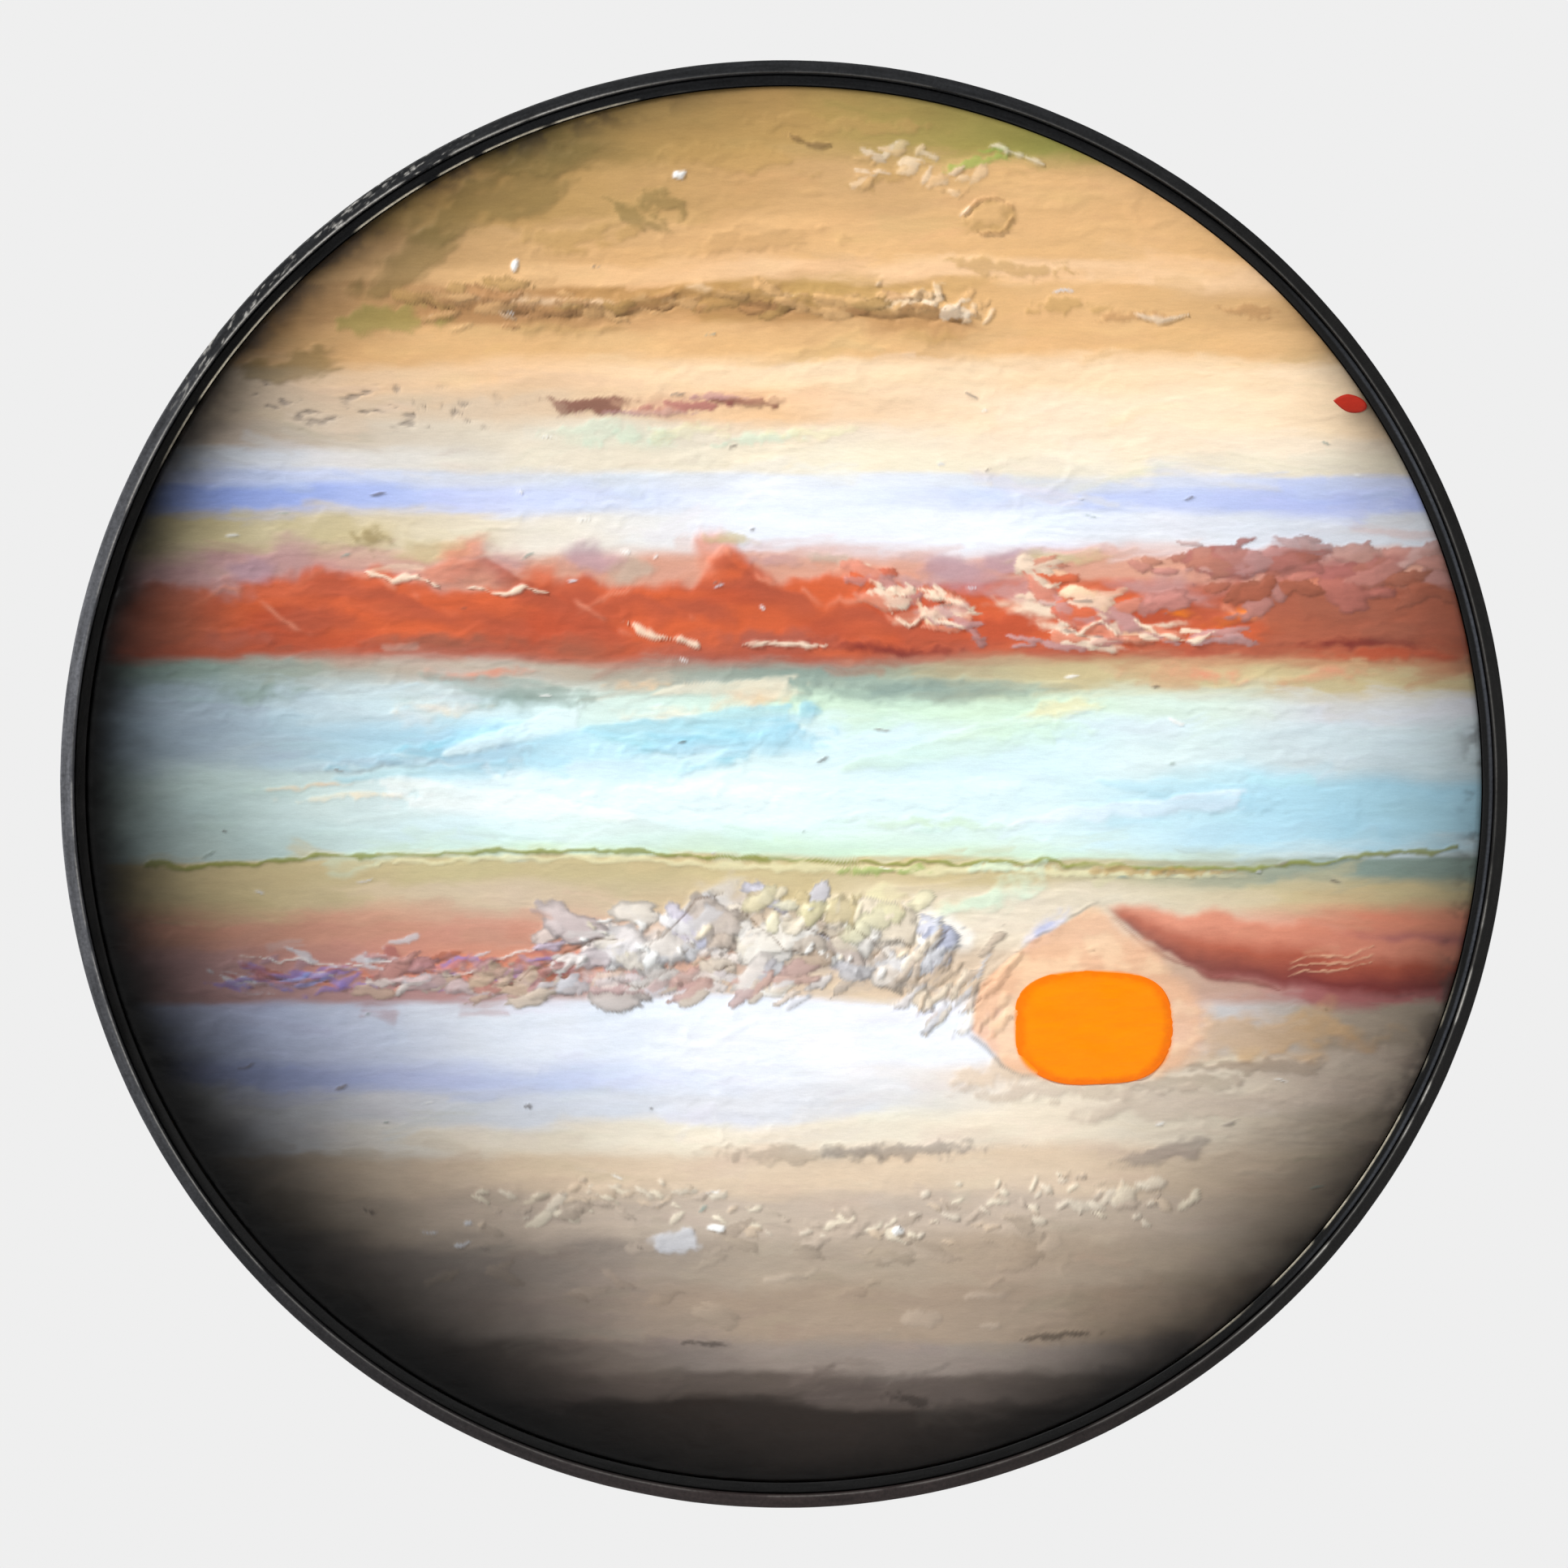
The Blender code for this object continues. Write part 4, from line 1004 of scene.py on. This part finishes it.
def close_disc(points, faces, colours, rim, back):
    """Adds a side wall and a flat back, as rings that shrink to a small disc closed by faces across it."""
    points, faces, colours = [points], [faces], [colours]
    ring, start = rim, len(points[0])
    for scale, y in ((1.0, back), (0.94, back), (0.6, back), (0.25, back), (0.02, back)):
        edge = points[0][rim].copy()
        edge[:, [0, 2]] = (edge[:, [0, 2]] - edge[:, [0, 2]].mean(0)) * scale + edge[:, [0, 2]].mean(0)
        edge[:, 1] = y
        new_ring = start + np.arange(len(rim))
        faces.append(np.stack([ring, new_ring, np.roll(new_ring, -1), np.roll(ring, -1)], axis=1))
        points.append(edge)
        colours.append(colours[0][rim])
        ring, start = new_ring, start + len(rim)
    half = len(ring) // 2
    across = np.stack([ring[: half - 1], ring[1:half], ring[::-1][: half - 1], ring[::-1][1:half]], axis=1)
    faces.append(across[:, [1, 0, 2, 3]])
    return np.vstack(points), np.vstack(faces), np.vstack(colours)


def make_paint(canvas):
    """The whole paint layer as one relief: a disc of fine faces, lifted by the thickness of the paint."""
    u, v, rim = disc_grid(PAINT_GRID)
    x, z = u * PANEL_RADIUS, v * PANEL_RADIUS
    height = read_field(canvas.height, 1000 * x, 1000 * z) / 1000
    rounding = 0.0009 * smooth(0.992, 1.0, np.hypot(u, v))
    y = np.maximum(PAINT_FRONT - height + rounding, RELIEF_LIMIT)
    points = np.column_stack([x, y, z])
    colours = np.clip(read_field(canvas.colour, 1000 * x, 1000 * z), 0, 1)
    faces = grid_faces(PAINT_GRID, PAINT_GRID)
    points, faces, colours = close_disc(points, faces, colours, rim, PAINT_BACK)
    return build_mesh("impasto_relief", points, faces, colours)


def make_blob(name, canvas, outline, rise, colour, node, seed):
    """A thick separate touch of paint: outline gives x and z in mm for a share of reach and an angle."""
    count = 150
    u, v, rim = disc_grid(count)
    share, angle = np.hypot(u, v), np.arctan2(v, u)
    x, z = outline(share, angle)
    under = PAINT_FRONT - read_field(canvas.height, x, z) / 1000
    dome = (1 - share**8) * (0.75 + 0.25 * (1 - share**2))
    streaks = 0.35 * wobble(x, z, 2.4, seed, 6.0, 3) + 0.25 * wobble(x, z, 9, seed + 1, 1.5, 3)
    lip = np.exp(-((share - 0.9) ** 2) / 0.004)
    height = rise * (dome + 0.2 * streaks * (1 - share**6) + 0.1 * lip)
    y = np.maximum(under.mean() - height, RELIEF_LIMIT)
    tone = 1 + 0.05 * wobble(x, z, 5, seed + 2, 3.0, 3) - 0.05 * lip
    deeper = smooth(0.84, 0.97, share + 0.03 * wobble(x, z, 4, seed + 3, 1.0, 3))
    shade = np.stack([1 - 0.06 * deeper, 1 - 0.3 * deeper, 1 - 0.3 * deeper], axis=1)
    colours = np.clip(linear(colour) * tone[:, None] * shade, 0, 1)
    points = np.column_stack([x / 1000, y, z / 1000])
    points, faces, colours = close_disc(points, grid_faces(count, count), colours, rim, under.max() + 0.0003)
    piece = build_mesh(name, points, faces, colours)
    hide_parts(node)
    return piece


def spot_outline(share, angle):
    """The orange spot: an oval with slightly squared shoulders and a wavering edge."""
    waver = 1 + 0.012 * np.sin(3 * angle + 0.6) + 0.008 * np.sin(7 * angle + 2.0)
    corners = np.abs(np.cos(angle)) ** SPOT_SQUARENESS + np.abs(np.sin(angle)) ** SPOT_SQUARENESS
    round_off = corners ** (-1 / SPOT_SQUARENESS)
    reach = share * waver * round_off
    return SPOT_X + SPOT_HALF_WIDTH * reach * np.cos(angle), SPOT_Z + SPOT_HALF_TALL * reach * np.sin(angle)


LEAF_X, LEAF_Z = 243.4, 163.6
LEAF_HALF_WIDTH, LEAF_HALF_TALL, LEAF_DROOP = 7.2, 3.9, 1.2


def leaf_outline(share, angle):
    """The red touch at the right edge: a short leaf, pointed at its left and blunt at its right."""
    x, z = share * np.cos(angle), share * np.sin(angle)
    taper = np.sqrt(np.clip(1.05 - np.clip(-x, 0, 1) ** 1.5, 0.05, 1))
    return LEAF_X + LEAF_HALF_WIDTH * x, LEAF_Z + LEAF_HALF_TALL * z * taper - LEAF_DROOP * x


def eased_section(inner, outer, front, back, easing):
    """The points of a hoop's cross-section, as radius and depth, with the two front edges rounded."""
    corner = np.linspace(0, math.pi / 2, 6)
    face = np.linspace(outer - easing, inner + easing, 10)[1:-1]
    side = np.linspace(front + easing, back, 14)[1:-1]
    outer_edge = [(outer - easing * (1 - math.cos(t)), front + easing * (1 - math.sin(t))) for t in corner]
    inner_edge = [(inner + easing * (1 - math.sin(t)), front + easing * (1 - math.cos(t))) for t in corner]
    section = outer_edge + [(radius, front) for radius in face] + inner_edge
    section += [(inner, depth) for depth in side]
    section += [(radius, back) for radius in np.linspace(inner, outer, 5)]
    return np.array(section + [(outer, depth) for depth in side[::-1]])


def make_hoop(name, section, paint, wear, seed):
    """A hoop of painted wood: its surface sinks by up to wear here and there, and paint gives its colours."""
    angle = np.linspace(-math.pi, math.pi, HOOP_STEPS, endpoint=False)[:, None]
    radius, depth = np.broadcast_arrays(section[:, 0] + 0 * angle, section[:, 1] + 0 * angle)
    around = np.broadcast_to(angle * 1000 * section[:, 0].mean(), radius.shape)
    along_section = np.broadcast_to(1000 * (section[:, 0] - section[:, 1]), radius.shape)
    inner_wall = section[:, 0].min()  # stays true, because it bears on the next part
    exposed = smooth(inner_wall, inner_wall + 0.0006, section[:, 0])
    dip = wear * exposed * (0.5 + 0.5 * np.clip(wobble(around, along_section, 3, seed, 6.0, 4), -1, 1))
    middle = section.mean(0)
    inward = middle - section
    inward = inward / np.maximum(np.linalg.norm(inward, axis=1), 1e-9)[:, None]
    radius = radius + dip * inward[:, 0]
    depth = depth + dip * inward[:, 1]
    colours = paint(np.degrees(angle) + 0 * radius, 1000 * radius, 1000 * depth, around)
    x, z = radius * np.cos(angle), radius * np.sin(angle)
    points = np.stack([x, depth, z], axis=-1).reshape(-1, 3)
    faces = grid_faces(HOOP_STEPS, len(section), wrap_rows=True, wrap_columns=True)
    return build_mesh(name, points, faces, colours.reshape(-1, 3))


# Colours round the two hoops by angle, anticlockwise from the right: painted light and shade, lighter where
# the light falls, at the left of the hoop's face and the top of the slip, and near black at the right
TONE_AT = (-180, -140, -90, -45, 0, 45, 75, 110, 140, 165, 180)
FACE_LIGHT_AND_SHADE = (
    "lit_charcoal",
    "charcoal",
    "brown_charcoal",
    "frame_black",
    "frame_black",
    "frame_black",
    "charcoal",
    "charcoal",
    "charcoal",
    "lit_charcoal",
    "lit_charcoal",
)
SLIP_LIGHT_AND_SHADE = (
    "frame_black",
    "black",
    "black",
    "black",
    "black",
    "frame_black",
    "charcoal",
    "charcoal",
    "frame_black",
    "frame_black",
    "frame_black",
)


def tones_round(angle, names):
    stops = np.array([linear(name) for name in names])
    return np.stack([np.interp(angle, TONE_AT, stops[:, k]) for k in range(3)], axis=-1)


def rub_and_highlight(colours, mask):
    """Lays the pale edge colour over the black: rubbed paint, and painted highlights on lit edges."""
    colours += (linear("rubbed_and_lit_edge") - colours) * mask[..., None]


def face_paint(angle, radius, depth, around):
    """The hoop's black paint: painted light and shade round it, streaks, dry brush marks at the upper left,
    and a pale inner edge, rubbed paint that is also a painted highlight, strongest at the upper left and
    lower right.
    """
    colours = tones_round(angle, FACE_LIGHT_AND_SHADE)
    colours *= (1 + 0.32 * wobble(around, radius + depth, 1.1, 41, 18.0, 3))[..., None]
    front = depth < 1000 * HOOP_FRONT + 1.6
    # the pale inner edge: rubbed paint, and a painted highlight where the light falls
    inner_edge = np.exp(-((radius - 1000 * HOOP_INNER - 0.35) ** 2) / 0.1) * front
    upper_left = smooth(96, 112, angle) * smooth(172, 150, angle)
    lower_left = smooth(-120, -150, angle)
    broken = smooth(0.15, 0.4, noise(around, 0 * radius, 14, 42))
    rub_and_highlight(colours, inner_edge * broken * (0.1 + 0.8 * upper_left + 0.25 * lower_left))
    lower_right = smooth(-52, -42, angle) * smooth(-6, -18, angle)
    rub_and_highlight(colours, inner_edge * lower_right * smooth(0.35, 0.6, noise(around, 0 * radius, 9, 44)) * 0.5)
    brushed = smooth(0.6, 0.85, layered_noise(around, radius, 0.8, 43, 4.5, 3)) * front
    rub_and_highlight(colours, 0.9 * brushed * smooth(112, 122, angle) * smooth(152, 140, angle))
    return np.clip(colours, 0, 1)


def slip_paint(angle, radius, depth, around):
    """The slip's black paint: painted light and shade round it, a blue-grey painted highlight along its outer
    edge at the right, and a broken cream line of primer along its inner lip that is also a painted highlight
    of the lit edge.
    """
    colours = tones_round(angle, SLIP_LIGHT_AND_SHADE)
    # a blue-grey band along the outer edge at the right: painted highlight
    outer_edge = smooth(1000 * SLIP_OUTER - 2.2, 1000 * SLIP_OUTER - 1.2, radius)
    right_highlight = outer_edge * smooth(-50, -25, angle) * smooth(50, 25, angle)
    colours += (linear("highlight_charcoal") - colours) * (0.8 * right_highlight)[..., None]
    colours *= (1 + 0.25 * wobble(around, radius + depth, 1.3, 51, 20.0, 3))[..., None]
    # a broken cream line along the inner lip: primer, and a painted highlight of the lit edge
    lip = smooth(1000 * SLIP_INNER + 0.9, 1000 * SLIP_INNER + 0.5, radius) * (depth < 1000 * SLIP_FRONT + 1.0)
    upper = smooth(97, 108, angle) * smooth(156, 144, angle)
    lower = smooth(-56, -46, angle) * smooth(-14, -26, angle)
    broken = smooth(0.25, 0.45, noise(around, 0 * radius, 11, 52))
    broken = broken * (0.6 + 0.4 * noise(around, 0 * radius, 2.5, 53))
    colours += (linear("cream") - colours) * (lip * broken * (0.85 * upper + 0.45 * lower))[..., None]
    return np.clip(colours, 0, 1)


# ---------------------------------------------------------------- materials


class Look:
    """A node material on one Principled shader, with short calls for the nodes that it needs."""

    def __init__(self, name, roughness, metallic=0.0, specular=0.5):
        self.material = bpy.data.materials.new(name)
        self.material.use_nodes = True
        self.tree = self.material.node_tree
        self.shader = self.tree.nodes["Principled BSDF"]
        self.shader.inputs["Roughness"].default_value = roughness
        self.shader.inputs["Metallic"].default_value = metallic
        self.shader.inputs["Specular IOR Level"].default_value = specular
        self.place = self.add("ShaderNodeTexCoord").outputs["Object"]

    def add(self, kind, **settings):
        node = self.tree.nodes.new(kind)
        for key, value in settings.items():
            setattr(node, key, value)
        return node

    def link(self, source, target):
        self.tree.links.new(source, target)

    def scaled(self, scale, source=None):
        mapping = self.add("ShaderNodeMapping")
        mapping.inputs["Scale"].default_value = scale
        self.link(source or self.place, mapping.inputs["Vector"])
        return mapping.outputs["Vector"]

    def noise(self, vector, scale, detail=3.0, roughness=0.55):
        texture = self.add("ShaderNodeTexNoise")
        texture.inputs["Scale"].default_value = scale
        texture.inputs["Detail"].default_value = detail
        texture.inputs["Roughness"].default_value = roughness
        self.link(vector, texture.inputs["Vector"])
        return texture.outputs["Fac"]

    def ranged(self, value, low, high, to_low, to_high):
        ranged = self.add("ShaderNodeMapRange")
        self.link(value, ranged.inputs["Value"])
        for socket, number in zip(("From Min", "From Max", "To Min", "To Max"), (low, high, to_low, to_high)):
            ranged.inputs[socket].default_value = number
        return ranged.outputs["Result"]

    def ramp(self, value, *stops):
        """A colour ramp with stops of position and palette name or linear colour."""
        ramp = self.add("ShaderNodeValToRGB").color_ramp
        while len(ramp.elements) < len(stops):
            ramp.elements.new(0.5)
        for element, (position, colour) in zip(ramp.elements, stops):
            element.position = position
            element.color = (*(linear(colour) if isinstance(colour, str) else colour), 1.0)
        node = self.tree.nodes[-1]
        self.link(value, node.inputs["Fac"])
        return node.outputs["Color"]

    def tinted(self, colour, factor, low, high):
        """The colour made darker or lighter as factor goes from 0 to 1."""
        mix = self.add("ShaderNodeMix", data_type="RGBA", blend_type="MULTIPLY")
        mix.inputs["Factor"].default_value = 1.0
        self.link(colour, mix.inputs[6])
        grey = self.ranged(factor, 0.3, 0.7, low, high)
        self.link(grey, mix.inputs[7])
        return mix.outputs[2]

    def layer_colour(self):
        return self.add("ShaderNodeAttribute", attribute_name=COLOUR_LAYER).outputs["Color"]

    def base(self, colour):
        self.link(colour, self.shader.inputs["Base Color"])

    def rough(self, value, low, high):
        self.link(self.ranged(value, 0.3, 0.7, low, high), self.shader.inputs["Roughness"])

    def bump(self, height, distance, strength=1.0):
        bump = self.add("ShaderNodeBump")
        bump.inputs["Strength"].default_value = strength
        bump.inputs["Distance"].default_value = distance
        self.link(height, bump.inputs["Height"])
        if self.shader.inputs["Normal"].is_linked:
            self.link(self.shader.inputs["Normal"].links[0].from_socket, bump.inputs["Normal"])
        self.link(bump.outputs["Normal"], self.shader.inputs["Normal"])


def oil_paint(name, gloss):
    """Thick oil paint: colour from the painted layer, fine bristle streaks, grain and a satin gloss."""
    look = Look(name, roughness=gloss, specular=0.16)
    bristles = look.noise(look.scaled((0.22, 1.0, 1.0)), 900, 4.0, 0.6)
    grain = look.noise(look.place, 1400, 2.0)
    colour = look.tinted(look.layer_colour(), bristles, 0.97, 1.03)
    look.base(look.tinted(colour, grain, 0.98, 1.02))
    look.rough(look.noise(look.scaled((0.5, 1.0, 1.0)), 120), gloss - 0.08, gloss + 0.14)
    look.bump(bristles, 0.00016, 0.5)
    look.bump(look.noise(look.scaled((0.6, 1.0, 1.0)), 180, 3.0), 0.0006, 0.4)
    return look.material


def worn_black_paint(name, gloss):
    """Brushed black paint over wood on the hoops: colour from the layer, with its painted light and shade,
    streaks and small dents.
    """
    look = Look(name, roughness=gloss, specular=0.22)
    speckle = look.noise(look.place, 700, 4.0, 0.65)
    look.base(look.tinted(look.layer_colour(), speckle, 0.7, 1.35))
    look.rough(look.noise(look.place, 90), gloss - 0.1, gloss + 0.15)
    look.bump(speckle, 0.0002, 0.7)
    look.bump(look.noise(look.place, 60, 3.0), 0.0008, 0.35)
    return look.material


def polar_place(look):
    """The place along and across a hoop's grain: angle times radius, radius and depth."""
    split = look.add("ShaderNodeSeparateXYZ")
    look.link(look.place, split.inputs["Vector"])
    angle = look.add("ShaderNodeMath", operation="ARCTAN2")
    look.link(split.outputs["Z"], angle.inputs[0])
    look.link(split.outputs["X"], angle.inputs[1])
    length = look.add("ShaderNodeVectorMath", operation="LENGTH")
    flat = look.scaled((1.0, 0.0, 1.0))
    look.link(flat, length.inputs[0])
    join = look.add("ShaderNodeCombineXYZ")
    look.link(look.ranged(angle.outputs["Value"], -math.pi, math.pi, -0.9, 0.9), join.inputs["X"])
    look.link(split.outputs["Y"], join.inputs["Y"])
    look.link(length.outputs["Value"], join.inputs["Z"])
    return join.outputs["Vector"]


def wood(name, stops, grain_scale, polar=False, gloss=0.6):
    """Bare wood: long streaked grain in a ramp of colours, with pores and a dry surface."""
    look = Look(name, roughness=gloss, specular=0.3)
    place = polar_place(look) if polar else look.place
    grain = look.noise(look.scaled(grain_scale, place), 60, 5.0, 0.6)
    pores = look.noise(look.scaled(tuple(4 * s for s in grain_scale), place), 160, 3.0, 0.7)
    look.base(look.tinted(look.ramp(grain, *stops), pores, 0.88, 1.05))
    look.rough(pores, gloss - 0.08, gloss + 0.12)
    look.bump(grain, 0.0005, 0.4)
    look.bump(pores, 0.00025, 0.5)
    return look.material


PINE_STOPS = ((0.25, (0.50, 0.31, 0.15)), (0.5, (0.66, 0.46, 0.26)), (0.75, (0.74, 0.56, 0.35)))
BIRCH_STOPS = ((0.25, (0.55, 0.40, 0.24)), (0.5, (0.67, 0.52, 0.34)), (0.8, (0.75, 0.62, 0.45)))
BASE_BLACK_STOPS = ((0.3, (0.008, 0.008, 0.008)), (0.6, (0.017, 0.016, 0.016)), (0.8, (0.035, 0.033, 0.031)))


def birch_plywood(name):
    """Birch plywood: a pale veneer face with long streaked grain."""
    look = Look(name, roughness=0.55, specular=0.3)
    grain = look.noise(look.scaled((0.05, 1.0, 1.0)), 140, 5.0, 0.6)
    look.base(look.tinted(look.ramp(grain, *BIRCH_STOPS), look.noise(look.place, 14, 2.0), 0.86, 1.06))
    look.rough(grain, 0.5, 0.68)
    look.bump(grain, 0.0003, 0.5)
    return look.material


def flat_black_paint(name):
    """Thin black paint on the base ring, with brush marks and a little dust."""
    look = Look(name, roughness=0.55, specular=0.4)
    place = polar_place(look)
    streaks = look.noise(look.scaled((0.06, 1.0, 1.0), place), 420, 4.0, 0.6)
    dust = look.noise(look.place, 32, 5.0, 0.7)
    look.base(look.tinted(look.ramp(streaks, *BASE_BLACK_STOPS), dust, 0.7, 1.5))
    look.rough(dust, 0.42, 0.72)
    look.bump(streaks, 0.0003, 0.7)
    return look.material


def gesso(name):
    """Cream gesso, brushed on in crossing coats."""
    look = Look(name, roughness=0.8, specular=0.25)
    coat = look.noise(look.scaled((0.15, 1.0, 1.0)), 300, 3.0)
    look.base(look.ramp(coat, (0.3, (0.70, 0.64, 0.54)), (0.7, (0.82, 0.78, 0.69))))
    look.rough(coat, 0.72, 0.9)
    look.bump(coat, 0.0003, 0.6)
    return look.material


def plated_steel(name, dark, light, gloss):
    """Plated steel: rolled streaks, faint blotches in the plating and fine scratches."""
    look = Look(name, roughness=gloss, metallic=1.0)
    streaks = look.noise(look.scaled((1.0, 1.0, 0.08)), 900, 3.0, 0.6)
    blotches = look.noise(look.place, 220, 4.0, 0.65)
    look.base(look.tinted(look.ramp(blotches, (0.3, dark), (0.7, light)), streaks, 0.92, 1.04))
    look.rough(streaks, gloss - 0.08, gloss + 0.14)
    look.bump(streaks, 0.00008, 0.5)
    return look.material


def soft_rubber(name):
    """Black rubber with a fine moulded grain and a bloom of dust."""
    look = Look(name, roughness=0.85, specular=0.3)
    dust = look.noise(look.place, 500, 4.0, 0.7)
    look.base(look.ramp(dust, (0.35, (0.012, 0.012, 0.013)), (0.75, (0.035, 0.034, 0.033))))
    look.rough(dust, 0.75, 0.95)
    look.bump(look.noise(look.place, 2500, 2.0), 0.0002, 0.6)
    return look.material


def matt_floor(name):
    look = Look(name, roughness=0.9, specular=0.2)
    mottle = look.noise(look.place, 3, 3.0)
    look.base(look.ramp(mottle, (0.3, (0.78, 0.78, 0.78)), (0.7, (0.82, 0.82, 0.82))))
    return look.material


def set_material(piece, material):
    if not piece.data.materials:
        piece.data.materials.append(material)
    for number in range(len(piece.data.materials)):
        piece.data.materials[number] = material


def dress_cad_nodes():
    """Gives every CAD node that stays in view its own finish."""
    zinc = plated_steel("zinc_plate", (0.44, 0.45, 0.46), (0.62, 0.62, 0.60), 0.34)
    nickel = plated_steel("nickel_plate", (0.50, 0.49, 0.46), (0.66, 0.64, 0.60), 0.24)
    looks = {
        "base_ring": flat_black_paint("base_black"),
        "cradle_hoop": wood("bent_pine", PINE_STOPS, (0.05, 1.0, 1.0), polar=True),
        "cradle_brace_upright": wood("upright_pine", PINE_STOPS, (1.0, 1.0, 0.05)),
        "cradle_brace": wood("cross_pine", PINE_STOPS, (0.05, 1.0, 1.0)),
        "panel_board": birch_plywood("birch_ply"),
        "gesso_ground": gesso("gesso_coat"),
        "panel_screw": zinc,
        "hoop_brad": zinc,
        "strap_screw": zinc,
        "hanger": nickel,
        "bumper": soft_rubber("bumper_rubber"),
    }
    for name, node in NODES.items():
        matches = [start for start in looks if name.startswith(start)]
        if matches:
            set_material(node, looks[max(matches, key=len)])


# ---------------------------------------------------------------- camera, light and floor

CAMERA_LENS, SENSOR = 120.0, 36.0
OBJECT_SHARE = 0.9238  # how much of the view's width the frame fills
WORLD_SHOWN, WORLD_SHINING = 0.863, 0.28  # how bright the backdrop looks, and how much light it gives
# Each light's name, kind, place, strength, and its angle in degrees or its size in metres
LIGHTS = (
    ("key_light", "SUN", (-1.3, -0.85, 1.5), 3.9, 14.0),
    ("fill_light", "AREA", (1.9, -2.0, 0.4), 8.0, 1.8),
    ("back_light", "AREA", (0.6, 1.8, 1.4), 20.0, 1.4),
)


def make_camera():
    """Square on to the picture, from far enough off that its sides hardly show."""
    data = bpy.data.cameras.new("view_camera")
    data.lens, data.sensor_width = CAMERA_LENS, SENSOR
    data.clip_end = 50.0
    camera = bpy.data.objects.new("view_camera", data)
    distance = 2 * HOOP_OUTER / OBJECT_SHARE * CAMERA_LENS / SENSOR
    camera.location = (0.0, HOOP_FRONT - distance, 0.0)
    camera.rotation_euler = (math.pi / 2, 0.0, 0.0)
    bpy.context.scene.collection.objects.link(camera)
    bpy.context.scene.camera = camera


def make_light(name, kind, place, strength, spread):
    """A light at a place, turned to the middle of the picture: a square AREA light, or a soft-edged SUN."""
    data = bpy.data.lights.new(name, kind)
    data.energy = strength
    if kind == "SUN":
        data.angle = math.radians(spread)
    else:
        data.size = spread
    light = bpy.data.objects.new(name, data)
    light.location = place
    bpy.context.scene.collection.objects.link(light)
    light.rotation_euler = (-light.location).to_track_quat("-Z", "Y").to_euler()


def make_world(shown, shining):
    """A pale backdrop all round, which lights the scene less than it shows."""
    world = bpy.data.worlds.new("pale_world")
    world.use_nodes = True
    bpy.context.scene.world = world
    tree = world.node_tree
    background = tree.nodes["Background"]
    background.inputs["Color"].default_value = (1.0, 1.0, 1.0, 1.0)
    ray = tree.nodes.new("ShaderNodeLightPath")
    level = tree.nodes.new("ShaderNodeMapRange")
    level.inputs["To Min"].default_value = shining
    level.inputs["To Max"].default_value = shown
    tree.links.new(ray.outputs["Is Camera Ray"], level.inputs["Value"])
    tree.links.new(level.outputs["Result"], background.inputs["Strength"])


def make_floor():
    """A pale floor below the hanging picture, out of the front view."""
    drop, half_width, near, far = -0.43, 2.0, -2.0, 0.5
    columns, rows = np.meshgrid(np.linspace(-half_width, half_width, 9), np.linspace(near, far, 7))
    points = np.column_stack([columns.ravel(), rows.ravel(), np.full(columns.size, drop)])
    mesh = bpy.data.meshes.new("floor")
    mesh.from_pydata(points.tolist(), [], grid_faces(7, 9).tolist())
    floor = bpy.data.objects.new("floor", mesh)
    bpy.context.scene.collection.objects.link(floor)
    set_material(floor, matt_floor("floor_paint"))


def set_stage():
    bpy.context.scene.view_settings.view_transform = "Standard"
    make_camera()
    make_world(WORLD_SHOWN, WORLD_SHINING)
    for light in LIGHTS:
        make_light(*light)
    make_floor()


# ---------------------------------------------------------------- the whole


SPOT_RISE, LEAF_RISE = 0.0009, 0.0008
HOOP_EASING, SLIP_EASING = 0.0008, 0.0006
HOOP_WEAR, SLIP_WEAR = 0.0004, 0.0003


def make_pieces():
    """The paint with its two separate touches, and the two hoops round it."""
    canvas = paint_picture()
    paint = make_paint(canvas)
    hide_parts("paint_layer")
    set_material(paint, oil_paint("impasto", 0.42))

    spot = make_blob(
        "orange_spot_relief", canvas, spot_outline, SPOT_RISE, "spot_orange", "orange_spot_paint", 61
    )
    set_material(spot, oil_paint("orange_oil", 0.36))

    leaf = make_blob("red_leaf_relief", canvas, leaf_outline, LEAF_RISE, "signal_red", "red_dab_paint", 71)
    set_material(leaf, oil_paint("red_oil", 0.36))

    section = eased_section(HOOP_INNER, HOOP_OUTER, HOOP_FRONT, HOOP_BACK, HOOP_EASING)
    outer = make_hoop("outer_hoop_worn", section, face_paint, HOOP_WEAR, 81)
    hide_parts("outer_hoop")
    set_material(outer, worn_black_paint("hoop_black", 0.5))

    section = eased_section(SLIP_INNER, SLIP_OUTER, SLIP_FRONT, SLIP_BACK, SLIP_EASING)
    slip = make_hoop("slip_hoop_worn", section, slip_paint, SLIP_WEAR, 91)
    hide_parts("slip_hoop")
    set_material(slip, worn_black_paint("slip_black", 0.62))


set_stage()
make_pieces()
dress_cad_nodes()
